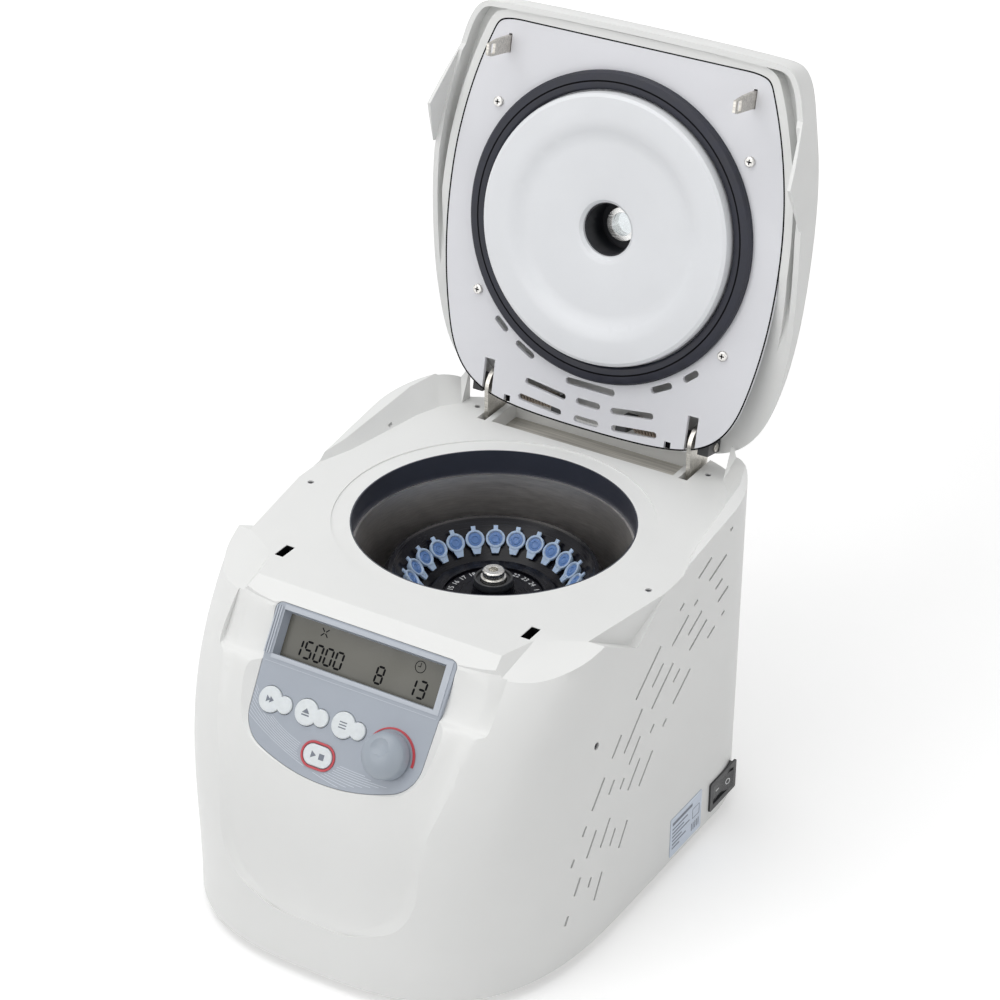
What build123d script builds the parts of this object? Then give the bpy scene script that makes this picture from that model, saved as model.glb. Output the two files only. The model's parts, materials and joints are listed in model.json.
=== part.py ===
from build123d import *
import os
from math import sin, cos, tan, radians

# Benchtop microcentrifuge with its lid raised, millimetres, +Z up, front towards -Y.
# The origin is on the bench, below the rotor axis. Heights called "level" count from the deck.

# Main sizes
deck_z = 233.0            # height of the flat deck round the bowl
foot_height = 8.0
wall = 3.0
half_width = 140.5
rear_y = 150.0
rear_radius = 80.0
opening_radius = 95.0
seat_radius = 107.5       # shallow ring that receives the lid seal
seat_depth = 1.0
deck_thickness = 12.0
bib_depth = 3.5           # how far the front bib lies behind the corner surfaces

# Clearances
running_gap = 0.05        # radial clearance of a turning pin or shaft
slide_gap = 0.3           # clearance round buttons, bolts and loose plates
join_gap = 0.02           # fine gap where two pieces lie face to face

# Plan sections of the housing: drop below the deck, where the bow starts, front, squareness
sections = [
    (8.0, -30.0, -154.0, 4.2),
    (58.0, -42.0, -194.0, 3.8),
    (130.0, -54.0, -217.0, 3.2),
    (deck_z - foot_height, -60.0, -223.0, 2.8),
]
# Bib outline: drop below the deck, half width at the crease, depth behind the surface
bib_rows = [
    (8.0, 97.0, -1.2),
    (40.0, 94.0, 2.6),
    (85.0, 84.5, bib_depth),
    (135.0, 75.0, bib_depth),
    (158.0, 70.0, bib_depth),
    (172.0, 60.0, 2.6),
    (181.0, 44.0, 1.0),
    (187.0, 26.0, -0.6),
]
bib_band = 8.0            # width of the sloping band round the bib

# Level of the housing edge under the lid skirt, seen from the side: y, level
parting = [(-24.0, 0.0), (0.0, 3.5), (40.0, 9.5), (80.0, 15.0), (120.0, 20.5), (152.0, 22.0)]
notch_tip = (-57.0, -22.0)        # deepest point of the notch under the lid wing
notch_start = -97.0               # front end of the notch
notch_end = -22.0
facet_front = (127.6, -96.6)      # plan line of the wall inside the notch
facet_rear = (140.4, -22.7)
corner_edge = (99.0, -113.0)      # inner end of the deck edge in front of the notch
corner_slope = 18.0
hood_fold_y = -139.0

# Control panel plane: its origin is the middle of the panel's top edge
panel_top_y = -150.9
panel_top_level = -6.1
panel_plane = Plane(
    origin=(0, panel_top_y, deck_z + panel_top_level),
    x_dir=(1, 0, 0),
    z_dir=(0, -0.842, 0.539),
)
panel_half = 67.5
panel_height = 100.0
panel_thickness = 3.0
panel_corner = 24.0       # rounding of the lower corners

# Latch
slot_x = 92.5
slot_y = -107.5
slot_width = 6.5
slot_length = 14.0

# Hinge
hinge_y = 133.9
hinge_level = 18.6
open_angle = 100.9
ear_x = 80.0              # middle of each hinge ear
ear_thickness = 3.0
ear_radius = 14.0
ear_slot = 6.6            # width of the slots that clear the ears

# Side vents: ring radius about the vent centre, then angle and length of each slot
vent_y = 146.0
vent_level = -300.0
vent_width = 2.2
vents = {
    312: [(29.3, 6), (33.3, 7), (37.9, 22.5), (43.8, 16), (53.3, 39), (62.6, 6), (68.7, 19), (75.6, 4)],
    297: [(21.6, 7), (26.2, 13), (31.8, 19), (39.2, 10), (46.6, 31), (54.3, 17.5), (60.9, 24.5),
          (65.3, 5), (71.4, 24.7)],
    283: [(26.6, 7), (33.4, 20), (40.1, 7.5), (44.7, 19.5), (54, 34), (64, 20), (71, 10)],
    270: [(25.8, 19.7), (32.9, 12), (41.9, 22), (48.7, 6.3), (57, 10.3), (63.9, 26), (71.6, 15)],
    255: [(33.4, 19), (43.5, 25), (50.8, 6), (56.9, 27), (66.9, 10.5), (70.8, 4.5)],
}

# Inside of the housing and small features
base_thickness = 3.0
base_top = deck_z - foot_height - base_thickness      # drop of the base plate's upper face
trough_half = 72.0
trough_front = 114.0
deck_screw_places = [(-129.6, -24.2), (129.6, -24.2), (-91.8, 127.7), (91.8, 127.7)]
side_screw = (-103.8, -69.5)
switch_y = 74.5
switch_z = 27.0
switch_length = 35.0
switch_width = 20.0
inlet_x = -28.0
inlet_z = 48.0
inlet_width = 48.0
inlet_height = 28.0
foot_places = [(-98.0, -140.0), (98.0, -140.0), (-98.0, 105.0), (98.0, 105.0)]
bracket_screw_places = [(-89.5, 110.0), (89.5, 110.0), (-89.5, 124.0), (89.5, 124.0)]

# Chamber and motor, levels counted from the deck
collar_inner = 94.0
bowl_rim = -19.0
bowl_floor = -130.0
bowl_radius = 92.5
bowl_sheet = 1.2
bowl_hole = 11.0
motor_low = -206.0
motor_high = -138.0
shaft_radius = 6.0
pin_radius = 3.0

# Buttons and knob, places in the panel plane
well_depth = 7.1
board_depth = 10.4
button_places = [(-51.6, -60.8), (-24.1, -60.8), (3.6, -60.6)]
button_radius = 8.5
lobe_radius = 5.7
lobe_shift = (10.9, -0.6)
button_rise = 1.3
button_depth = 4.8        # underside of a button below the panel face
button_travel = 1.2
start_place = (-7.5, -84.1)
start_length = 21.0
start_width = 13.5
knob_place = (40.0, -69.0)
knob_radius = 15.2
knob_height = 15.5
knob_stem = 3.0
knob_arc_radius = 17.3
rocker_x = 134.0
rocker_length = 25.0
rocker_width = 14.0
rocker_pin = 1.5

# Rotor, levels counted from the deck
tube_count = 24
tube_ring = 53.8          # radius of the cap centres
tube_level = -47.0
tube_tilt = 45.0
tube_radius = 5.3
tube_length = 36.0
cap_radius = 6.6
rotor_rim = 68.5
rotor_rim_level = -38.5
rotor_radius = 87.0
rotor_low = -98.0

# Lid in its closed place: the plate lies this far above the deck
plate_level = 5.0
plate_thickness = 3.0
lid_top = 33.0
lid_wall = 3.0
lid_skirt = 4.0
lid_outline = [(0, -135.8), (40, -135.6), (80, -135), (104, -134.2), (115, -131.8), (121, -125), (128, -104),
               (134.5, -75), (139.2, -35), (140.4, 8), (138.6, 50), (131.5, 92), (122, 117), (109, 133),
               (92, 141.5), (60, 145), (0, 146.5)]
plate_outline = [(0, -125), (40, -125), (75, -124.9), (94, -124.4), (101, -121.8), (105, -115), (111.5, -97),
                 (119.5, -67), (125.2, -30), (126.6, 5), (123.5, 52), (117, 87), (109, 111), (98, 126),
                 (82, 135.5), (60, 140.5), (30, 142.6), (0, 143)]
frame_width = 6.0
# Lower edge of the lid skirt, seen from the side: y, level
skirt_edge = [(-121.0, 3.0), (-101.0, 3.0), (-61.0, -19.5), (-26.0, 0.8), (0.0, 4.6), (40.0, 12.0),
              (80.0, 18.5), (120.0, 24.0), (150.0, 26.0)]
# Slots in the rear of the plate: x, y, length, turn
plate_slots = [(74, 85.4, 13, -40), (53.5, 99, 17, -28), (34, 122.5, 33, -7.5), (37.2, 134.7, 35, -6)]
middle_slots = [(0, 112, 38.5), (0, 124.5, 19), (0, 137.2, 19.5)]
plate_screw_places = [(-95.3, -67.3), (95.3, -67.3), (-95.3, 65.3), (95.3, 65.3)]
seal_outer = 106.6
seal_inner = 94.0
dish_radius = 93.0
dish_level = -6.5         # lowest face of the dish with the lid closed
sight_radius = 17.5

# Latch, levels counted from the deck
latch_y = -112.0
bolt_y = -107.0
bolt_low = -20.0
bolt_high = -16.0
bolt_travel = 8.0
bolt_nose = 89.0
gear_module = 1.0
gear_teeth = 12
hook_x = 92.0
hook_sheet = 2.0
hook_low = -24.0
rack_length = 98.0
rack_end = hook_x - hook_sheet / 2 - bolt_travel - 3.0      # stays clear of the hook at full travel


def level(height):
    """Horizontal plane at a level counted from the deck."""
    return Plane.XY.offset(deck_z + height)


def bow_point(x, bow_y, front_y, squareness, inset):
    """Front edge of a plan section at a given x."""
    hw = half_width - inset
    depth = bow_y - front_y - inset
    return bow_y - depth * (1 - (abs(x) / hw) ** squareness) ** (1 / squareness)


def plan_section(drop, bow_y, front_y, squareness, inset):
    """Closed plan section of the housing at a depth below the deck."""
    hw = half_width - inset
    fy = front_y + inset
    ry = rear_y - inset
    rr = rear_radius - inset
    power = 2.0 / squareness
    depth = bow_y - fy
    right = []
    for turn in (12, 28, 45, 62, 78):
        a = radians(turn)
        right.append((hw * cos(a) ** power, bow_y - depth * sin(a) ** power))
    left = [(-x, y) for x, y in reversed(right)]
    points = [(hw, bow_y)] + right + [(0, fy)] + left + [(-hw, bow_y)]
    with BuildSketch(level(-drop)) as section:
        with BuildLine():
            Spline(*points, tangents=[(0, -1), (0, 1)])
            Line((-hw, bow_y), (-hw, ry - rr))
            RadiusArc((-hw, ry - rr), (-hw + rr, ry), rr)
            Line((-hw + rr, ry), (hw - rr, ry))
            RadiusArc((hw - rr, ry), (hw, ry - rr), rr)
            Line((hw, ry - rr), (hw, bow_y))
        make_face()
    return section.sketch


def section_values(drop):
    """Bow start, front and squareness between the given sections."""
    values = []
    for item in (1, 2, 3):
        total = 0.0
        for one in sections:
            share = one[item]
            for other in sections:
                if other is not one:
                    share = share * (drop - other[0]) / (one[0] - other[0])
            total = total + share
        values.append(total)
    return values


def bib_section(drop, crease, depth):
    """Plan section of the bib recess: floor, sloping bands and open front."""
    bow_y, front_y, squareness = section_values(drop)
    band = min(bib_band, 0.4 * crease)
    inner = crease - band
    floor_y = bow_point(inner, bow_y, front_y, squareness, 0) + depth + 0.02
    crease_y = bow_point(crease, bow_y, front_y, squareness, 0)
    outer = (crease + 3 * (crease - inner) / band, crease_y - 3 * (floor_y - crease_y) / band)
    floor = []
    for part in (1.0, 0.66, 0.33, 0.0, -0.33, -0.66, -1.0):
        x = inner * part
        floor.append((x, bow_point(x, bow_y, front_y, squareness, 0) + depth + 0.02))
    with BuildSketch(level(-drop)) as section:
        with BuildLine():
            Spline(*floor)
            Polyline(floor[-1], (-outer[0], outer[1]), (-outer[0], -260), (outer[0], -260), outer, floor[0])
        make_face()
    return section.sketch


def cavity_section(drop, gap):
    """Plan section of the hollow inside the housing, drawn in further by a gap."""
    bow_y, front_y, squareness = section_values(drop)
    return plan_section(drop, bow_y, front_y + 4, squareness, wall + gap)


def panel_outline(grow):
    """Outline of the control panel in its own plane, grown or shrunk all round."""
    side_y = -83.6
    side_x = 64.3
    with BuildSketch() as outline:
        with BuildLine():
            Polyline((-side_x, side_y), (-panel_half, 0), (panel_half, 0), (side_x, side_y))
            ThreePointArc((side_x, side_y), (0, -panel_height), (-side_x, side_y))
        make_face()
        fillet(outline.vertices().sort_by(Axis.Y)[-2:], 5)
        fillet(outline.vertices().sort_by(Axis.Y)[:2], panel_corner)
        if grow != 0:
            offset(amount=grow)
    return outline.sketch


def plan_polygon(points, height):
    """Flat outline mirrored about the middle plane, at a level."""
    mirrored = [(-x, y) for x, y in reversed(points) if x > 0]
    with BuildSketch(level(height)) as outline:
        with BuildLine():
            Polyline(*points, *mirrored, close=True)
        make_face()
    return outline.sketch


# Housing shell
with BuildPart() as housing_shell:
    loft([plan_section(*row, 0).face() for row in sections])
    extrude(plan_section(*sections[0], 0), amount=sections[0][0] + 24)
    # everything above the parting edge goes, and the front above the deck
    with BuildSketch(Plane.YZ):
        with BuildLine():
            edge = [(y, deck_z + h) for y, h in parting]
            Polyline((-240, deck_z), *edge, (152, deck_z + 60), (-240, deck_z + 60), close=True)
        make_face()
    extrude(amount=160, both=True, mode=Mode.SUBTRACT)
    # sloping pocket inside the rim, open at the rear
    low = [(0, -30), (141.5, -30), (140.2, 2), (132, 27), (127, 56), (121, 94), (114, 114), (104, 126),
           (0, 126)]
    high = [(0, -30), (154, -30), (152, 2), (144.5, 29), (139.5, 60), (133, 101), (123, 124), (112, 137),
            (0, 137)]
    loft([plan_polygon(low, 0).face(), plan_polygon(high, 24).face()], mode=Mode.SUBTRACT)
    with BuildSketch(level(0)):
        with Locations((0, 140)):
            Rectangle(208, 60)
    extrude(amount=30, mode=Mode.SUBTRACT)
    # corners in front of the notch slope down and outwards, clear of the hood
    for side in (1, -1):
        with BuildPart(mode=Mode.PRIVATE) as slope_tool:
            run = (facet_front[0] - corner_edge[0], facet_front[1] - corner_edge[1])
            edge_plane = Plane(
                origin=(corner_edge[0], corner_edge[1], deck_z),
                x_dir=(run[0], run[1], 0),
                z_dir=(run[1] * tan(radians(corner_slope)), -run[0] * tan(radians(corner_slope)),
                       (run[0] ** 2 + run[1] ** 2) ** 0.5),
            )
            with BuildSketch(edge_plane):
                with Locations((20, -60)):
                    Rectangle(160, 120)
            extrude(amount=60)
            split(bisect_by=Plane(origin=(99, -113, deck_z), z_dir=(192.4, -59.2, 169)), keep=Keep.TOP)
        if side > 0:
            add(slope_tool.part, mode=Mode.SUBTRACT)
        else:
            add(slope_tool.part.mirror(Plane.YZ), mode=Mode.SUBTRACT)
    # notch under the lid wing, and the mirrored one
    for side in (1, -1):
        with BuildPart(mode=Mode.PRIVATE) as notch_tool:
            with BuildSketch(Plane.YZ):
                with BuildLine():
                    Polyline(
                        (notch_start, deck_z),
                        (notch_tip[0], deck_z + notch_tip[1]),
                        (notch_end, deck_z),
                        (notch_end, deck_z + 20),
                        (notch_start, deck_z + 20),
                        close=True,
                    )
                make_face()
            extrude(amount=160)
            facet = (facet_rear[0] - facet_front[0], facet_rear[1] - facet_front[1])
            split(
                bisect_by=Plane(
                    origin=(facet_front[0], facet_front[1], deck_z),
                    z_dir=(facet[1], -facet[0], 0),
                ),
                keep=Keep.TOP,
            )
        if side > 0:
            add(notch_tool.part, mode=Mode.SUBTRACT)
        else:
            add(notch_tool.part.mirror(Plane.YZ), mode=Mode.SUBTRACT)
    # the hood folds down to the top of the panel
    fold = (panel_top_y - hood_fold_y, panel_top_level)
    with BuildSketch(Plane(
        origin=(0, hood_fold_y, deck_z),
        x_dir=(1, 0, 0),
        z_dir=(0, fold[1], fold[0] * -1),
    )):
        with Locations((0, 0)):
            Rectangle(320, 120)
    extrude(amount=40, mode=Mode.SUBTRACT)
    # bib recess in the front
    loft([bib_section(*row).face() for row in bib_rows], mode=Mode.SUBTRACT)
    # recess round the control panel, widening outwards, and the seat of the panel
    loft(
        [
            (panel_plane * panel_outline(slide_gap)).face(),
            (panel_plane.offset(12) * panel_outline(20)).face(),
        ],
        mode=Mode.SUBTRACT,
    )
    extrude(panel_plane * panel_outline(slide_gap), amount=-panel_thickness, mode=Mode.SUBTRACT)
    # the hollow inside, kept clear of the panel seat
    with BuildPart(mode=Mode.PRIVATE) as cavity:
        loft([cavity_section(drop, 0).face() for drop in (deck_thickness, 58, 130, base_top)])
        extrude(cavity_section(base_top, 0), amount=-10)
        with BuildSketch(panel_plane.offset(-panel_thickness - 3.5)):
            with Locations((0, -42)):
                Rectangle(190, 150)
        extrude(amount=80, mode=Mode.SUBTRACT)
        with BuildSketch(level(notch_tip[1] - 4)):
            with BuildLine():
                Polyline((120, -106), (136.2, -14), (150, -14), (150, -106), close=True)
            make_face()
            mirror(about=Plane.YZ)
        extrude(amount=40, mode=Mode.SUBTRACT)
    add(cavity.part, mode=Mode.SUBTRACT)
    # window behind the panel
    extrude(panel_plane * panel_outline(-3), amount=-22, mode=Mode.SUBTRACT)
    # bowl opening and the shallow ring of the lid seal
    with BuildSketch(level(0)):
        Circle(seat_radius)
    extrude(amount=-seat_depth, mode=Mode.SUBTRACT)
    with BuildSketch(level(0)):
        Circle(opening_radius)
    extrude(amount=-20, mode=Mode.SUBTRACT)
    # latch slots
    with BuildSketch(level(0)):
        with Locations((-slot_x, slot_y), (slot_x, slot_y)):
            Rectangle(slot_width, slot_length)
    extrude(amount=-20, mode=Mode.SUBTRACT)
    # trough of the hinge and the slots of its ears
    with BuildSketch(level(0)):
        with Locations((0, (trough_front + rear_y - wall) / 2)):
            Rectangle(2 * trough_half, rear_y - wall - trough_front)
        with Locations((-ear_x, 130.5), (ear_x, 130.5)):
            Rectangle(ear_slot, 35)
    extrude(amount=-20, mode=Mode.SUBTRACT)
    # screw holes in the deck and in the sides
    with BuildSketch(level(0)):
        with Locations(*deck_screw_places):
            Circle(2.2)
    extrude(amount=-8, mode=Mode.SUBTRACT)
    with BuildSketch(Plane.YZ):
        with Locations((side_screw[0], deck_z + side_screw[1])):
            Circle(2.6)
    extrude(amount=160, both=True, mode=Mode.SUBTRACT)
    # side vents
    with BuildSketch(Plane.YZ):
        for radius, row in vents.items():
            for angle, length in row:
                y = vent_y - radius * cos(radians(angle))
                z = deck_z + vent_level + radius * sin(radians(angle))
                with Locations((y, z)):
                    Rectangle(length, vent_width, rotation=90 - angle)
    extrude(amount=160, both=True, mode=Mode.SUBTRACT)
    # cut-outs of the power switch and of the power inlet
    with BuildSketch(Plane.YZ.offset(half_width - 8)):
        with Locations((switch_y, switch_z)):
            Rectangle(switch_length, switch_width)
    extrude(amount=20, mode=Mode.SUBTRACT)
    with BuildSketch(Plane.XZ.offset(-rear_y + 8)):
        with Locations((inlet_x, inlet_z)):
            Rectangle(inlet_width, inlet_height)
    extrude(amount=-20, mode=Mode.SUBTRACT)

housing_shell.part.label = "housing_shell"


def ring(inner, outer, low, high):
    """Plain ring round the Z axis between two levels."""
    with BuildPart() as piece:
        with BuildSketch(level(low)):
            Circle(outer)
            if inner > 0:
                Circle(inner, mode=Mode.SUBTRACT)
        extrude(amount=high - low)
    return piece.part


# Base plate that closes the housing from below
with BuildPart() as base_plate:
    extrude(cavity_section(base_top, slide_gap), amount=-base_thickness)
    with BuildSketch(Plane.XY.offset(foot_height)):
        with GridLocations(50, 12, 2, 3):
            SlotOverall(36, 4)
    extrude(amount=base_thickness, mode=Mode.SUBTRACT)
base_plate.part.label = "base_plate"

# Rubber feet
with BuildPart() as feet:
    for x, y in foot_places:
        with BuildSketch(Plane.XY):
            with Locations((x, y)):
                Circle(11)
        with BuildSketch(Plane.XY.offset(foot_height - join_gap)):
            with Locations((x, y)):
                Circle(12.5)
        loft()
feet.part.label = "feet"

# Screws set into the deck
with BuildPart() as deck_screws:
    for x, y in deck_screw_places:
        with BuildSketch(level(-7)):
            with Locations((x, y)):
                Circle(2.0)
        extrude(amount=6)
        with BuildSketch(level(-1)):
            with Locations((x, y)):
                Rectangle(2.6, 0.7)
                Rectangle(0.7, 2.6)
        extrude(amount=-0.8, mode=Mode.SUBTRACT)
deck_screws.part.label = "deck_screws"

# Screws in the two side walls
with BuildPart() as side_screws:
    with BuildSketch(Plane.YZ.offset(half_width - 8)):
        with Locations((side_screw[0], deck_z + side_screw[1])):
            Circle(2.4)
    extrude(amount=6.2)
    with BuildSketch(Plane.YZ.offset(half_width - 1.8)):
        with Locations((side_screw[0], deck_z + side_screw[1])):
            Rectangle(3, 0.8)
            Rectangle(0.8, 3)
    extrude(amount=-1, mode=Mode.SUBTRACT)
    mirror(about=Plane.YZ)
side_screws.part.label = "side_screws"

# Collar lining the opening, its flange under the deck
with BuildPart() as chamber_collar:
    with BuildSketch(Plane.XZ):
        with BuildLine():
            Polyline(
                (collar_inner, deck_z - 1),
                (opening_radius - running_gap, deck_z - 1),
                (opening_radius - running_gap, deck_z - deck_thickness - join_gap),
                (101, deck_z - deck_thickness - join_gap),
                (101, deck_z - 15),
                (opening_radius - running_gap, deck_z - 15),
                (opening_radius - running_gap, deck_z + bowl_rim + join_gap),
                (collar_inner, deck_z + bowl_rim + join_gap),
                close=True,
            )
        make_face()
    revolve()
chamber_collar.part.label = "chamber_collar"

# Steel bowl with a raised middle
with BuildPart() as chamber_bowl:
    with BuildSketch(Plane.XZ):
        with BuildLine():
            floor = deck_z + bowl_floor
            rim = deck_z + bowl_rim
            Polyline((bowl_hole, floor + 8), (34, floor + 8), (44, floor), (bowl_radius - 16, floor))
            RadiusArc((bowl_radius - 16, floor), (bowl_radius, floor + 16), -16)
            outer = bowl_radius + bowl_sheet
            Polyline((bowl_radius, floor + 16), (bowl_radius, rim), (97, rim), (97, rim - bowl_sheet),
                     (outer, rim - bowl_sheet), (outer, floor + 16))
            RadiusArc((outer, floor + 16), (bowl_radius - 16, floor - bowl_sheet), 16 + bowl_sheet)
            Polyline((bowl_radius - 16, floor - bowl_sheet), (43.4, floor - bowl_sheet),
                     (33.4, floor + 8 - bowl_sheet), (bowl_hole, floor + 8 - bowl_sheet),
                     (bowl_hole, floor + 8))
        make_face()
    revolve()
chamber_bowl.part.label = "chamber_bowl"

# Armoured ring round the bowl
guard_ring = BuildPart()
with guard_ring:
    add(ring(bowl_radius + bowl_sheet + slide_gap, 99, bowl_floor + 18, bowl_rim - 11))
guard_ring.part.label = "guard_ring"

# Motor: can with its bearings, held on a plate with rubber dampers
with BuildPart() as motor_can:
    with BuildSketch(level(motor_low)):
        Circle(46)
    extrude(amount=motor_high - motor_low)
    fillet(motor_can.edges().group_by(Axis.Z)[-1], 4)
    with BuildSketch(level(motor_low + 4)):
        Circle(38)
    extrude(amount=motor_high - motor_low - 8, mode=Mode.SUBTRACT)
    with BuildSketch(level(motor_high)):
        Circle(shaft_radius + running_gap)
    extrude(amount=-6, mode=Mode.SUBTRACT)
    with BuildSketch(level(motor_low + 4)):
        Circle(shaft_radius + running_gap)
    extrude(amount=-2, mode=Mode.SUBTRACT)
    with BuildSketch(level(motor_low + 8)):
        with PolarLocations(46, 24):
            Circle(1.5)
    extrude(amount=motor_high - motor_low - 16, mode=Mode.SUBTRACT)
motor_can.part.label = "motor_can"

with BuildPart() as motor_bracket:
    with BuildSketch(level(motor_low - join_gap)):
        Circle(54)
        with PolarLocations(52, 3, start_angle=90):
            Circle(14)
    extrude(amount=-3)
motor_bracket.part.label = "motor_bracket"

with BuildPart() as motor_dampers:
    with BuildSketch(Plane.XY.offset(foot_height + base_thickness + join_gap)):
        with PolarLocations(52, 3, start_angle=90):
            Circle(10)
    damper_high = deck_z + motor_low - join_gap - 3 - join_gap
    extrude(amount=damper_high - foot_height - base_thickness - join_gap)
    with BuildSketch(Plane.XY.offset(foot_height + base_thickness + 4)):
        with PolarLocations(52, 3, start_angle=90):
            Circle(11)
            Circle(7.5, mode=Mode.SUBTRACT)
    extrude(amount=3, mode=Mode.SUBTRACT)
motor_dampers.part.label = "motor_dampers"

# Hinge bracket: web under the deck with two upright ears
with BuildPart() as hinge_bracket:
    web_top = deck_z - deck_thickness - join_gap
    with BuildSketch(Plane.XY.offset(web_top)):
        with Locations((0, 123.7)):
            Rectangle(168, 37.4)
        with Locations((0, 117)):
            Rectangle(188, 24)
    extrude(amount=-3)
    with BuildSketch(Plane.YZ.offset(ear_x - ear_thickness / 2)):
        with Locations((hinge_y - 0.9, (web_top - 3 + deck_z + hinge_level) / 2)):
            Rectangle(2 * ear_radius - 1.8, deck_z + hinge_level - web_top + 3)
        with Locations((hinge_y, deck_z + hinge_level)):
            Circle(ear_radius)
            Circle(pin_radius + running_gap, mode=Mode.SUBTRACT)
    extrude(amount=ear_thickness)
    with BuildSketch(Plane.YZ.offset(-ear_x - ear_thickness / 2)):
        with Locations((hinge_y - 0.9, (web_top - 3 + deck_z + hinge_level) / 2)):
            Rectangle(2 * ear_radius - 1.8, deck_z + hinge_level - web_top + 3)
        with Locations((hinge_y, deck_z + hinge_level)):
            Circle(ear_radius)
            Circle(pin_radius + running_gap, mode=Mode.SUBTRACT)
    extrude(amount=ear_thickness)
    with BuildSketch(Plane.XY.offset(web_top)):
        with Locations(*bracket_screw_places):
            Circle(1.8)
    extrude(amount=-3, mode=Mode.SUBTRACT)
hinge_bracket.part.label = "hinge_bracket"

with BuildPart() as bracket_screws:
    with BuildSketch(Plane.XY.offset(web_top - 3 - join_gap)):
        with Locations(*bracket_screw_places):
            Circle(3)
    extrude(amount=-2)
    with BuildSketch(Plane.XY.offset(web_top - 3 - join_gap)):
        with Locations(*bracket_screw_places):
            Circle(1.6)
    extrude(amount=3)
bracket_screws.part.label = "bracket_screws"

# Control panel with the well of its display and posts for the board behind
with BuildPart() as control_panel:
    extrude(panel_plane * panel_outline(0), amount=-panel_thickness)
    with BuildSketch(panel_plane.offset(-panel_thickness)):
        with Locations((0, -19.6)):
            Rectangle(123, 32.8)
    extrude(amount=-(well_depth - panel_thickness))
    with BuildSketch(panel_plane):
        with Locations((0, -18.4)):
            Rectangle(122, 29.8)
    with BuildSketch(panel_plane.offset(-well_depth)):
        with Locations((0, -19.5)):
            Rectangle(117.4, 27.2)
    loft(mode=Mode.SUBTRACT)
    with BuildSketch(panel_plane):
        for x, y in button_places:
            with Locations((x, y)):
                Circle(button_radius + slide_gap)
            with Locations((x + lobe_shift[0], y + lobe_shift[1])):
                Circle(lobe_radius + slide_gap)
        with Locations(start_place):
            SlotOverall(start_length + 2 * slide_gap, start_width + 2 * slide_gap)
        with Locations(knob_place):
            Circle(knob_stem + running_gap)
    extrude(amount=-panel_thickness, mode=Mode.SUBTRACT)
    with BuildSketch(panel_plane.offset(-panel_thickness)):
        with Locations((-57, -45), (57, -45), (-30, -87.5), (24, -88)):
            Circle(3)
    extrude(amount=-(board_depth - panel_thickness - join_gap))
control_panel.part.label = "control_panel"

# Display module behind the well
with BuildPart() as display_glass:
    with BuildSketch(panel_plane.offset(-well_depth - join_gap)):
        with Locations((0, -19)):
            Rectangle(122, 33)
    extrude(amount=-(board_depth - well_depth - 2 * join_gap))
display_glass.part.label = "display_glass"

# Circuit board of the panel
with BuildPart() as panel_board:
    with BuildSketch(panel_plane.offset(-board_depth)):
        with Locations((0, -43)):
            Rectangle(122, 82)
            with Locations((-40, -48)):
                Rectangle(42, 2)
        with Locations((0, -88)):
            Rectangle(96, 12)
    extrude(amount=-1.6)
panel_board.part.label = "panel_board"

# Tact switches behind the four buttons
with BuildPart() as button_switches:
    with BuildSketch(panel_plane.offset(-board_depth + join_gap)):
        with Locations(*button_places, start_place):
            Rectangle(6, 6)
    extrude(amount=board_depth - button_depth - button_travel - slide_gap - join_gap)
button_switches.part.label = "button_switches"

# Encoder under the knob
with BuildPart() as encoder:
    with BuildSketch(panel_plane.offset(-board_depth + join_gap)):
        with Locations(knob_place):
            RectangleRounded(13, 13, 1)
            Circle(knob_stem + running_gap, mode=Mode.SUBTRACT)
    extrude(amount=board_depth - panel_thickness - 2 * join_gap)
encoder.part.label = "encoder"

# Round buttons, each with a smaller lobe at its right
button_nodes = []
for x, y in button_places:
    with BuildPart() as button:
        with BuildSketch(panel_plane.offset(button_rise)):
            with Locations((x, y)):
                Circle(button_radius)
            with Locations((x + lobe_shift[0], y + lobe_shift[1])):
                Circle(lobe_radius)
        extrude(amount=-button_rise - panel_thickness - slide_gap)
        fillet(button.faces().sort_by(Axis(panel_plane.origin, panel_plane.z_dir))[-1].edges(), 0.8)
        with BuildSketch(panel_plane.offset(-panel_thickness - slide_gap)):
            with Locations((x, y)):
                Circle(button_radius + 0.9)
        extrude(amount=-(button_depth - panel_thickness - slide_gap))
    button_nodes.append(button)
button_left, button_middle, button_right = button_nodes
button_left.part.label = "button_left"
button_middle.part.label = "button_middle"
button_right.part.label = "button_right"

# Oblong start and stop button with the ring round it
with BuildPart() as start_button:
    with BuildSketch(panel_plane.offset(button_rise)):
        with Locations(start_place):
            SlotOverall(start_length, start_width)
    extrude(amount=-button_rise - panel_thickness - slide_gap)
    fillet(start_button.faces().sort_by(Axis(panel_plane.origin, panel_plane.z_dir))[-1].edges(), 0.8)
    with BuildSketch(panel_plane.offset(-panel_thickness - slide_gap)):
        with Locations(start_place):
            SlotOverall(start_length + 2, start_width + 2)
    extrude(amount=-(button_depth - panel_thickness - slide_gap))
start_button.part.label = "start_button"

with BuildPart() as start_ring:
    with BuildSketch(panel_plane.offset(join_gap)):
        with Locations(start_place):
            SlotOverall(start_length + 4, start_width + 4)
            SlotOverall(start_length + 1, start_width + 1, mode=Mode.SUBTRACT)
    extrude(amount=0.8)
start_ring.part.label = "start_ring"

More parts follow.
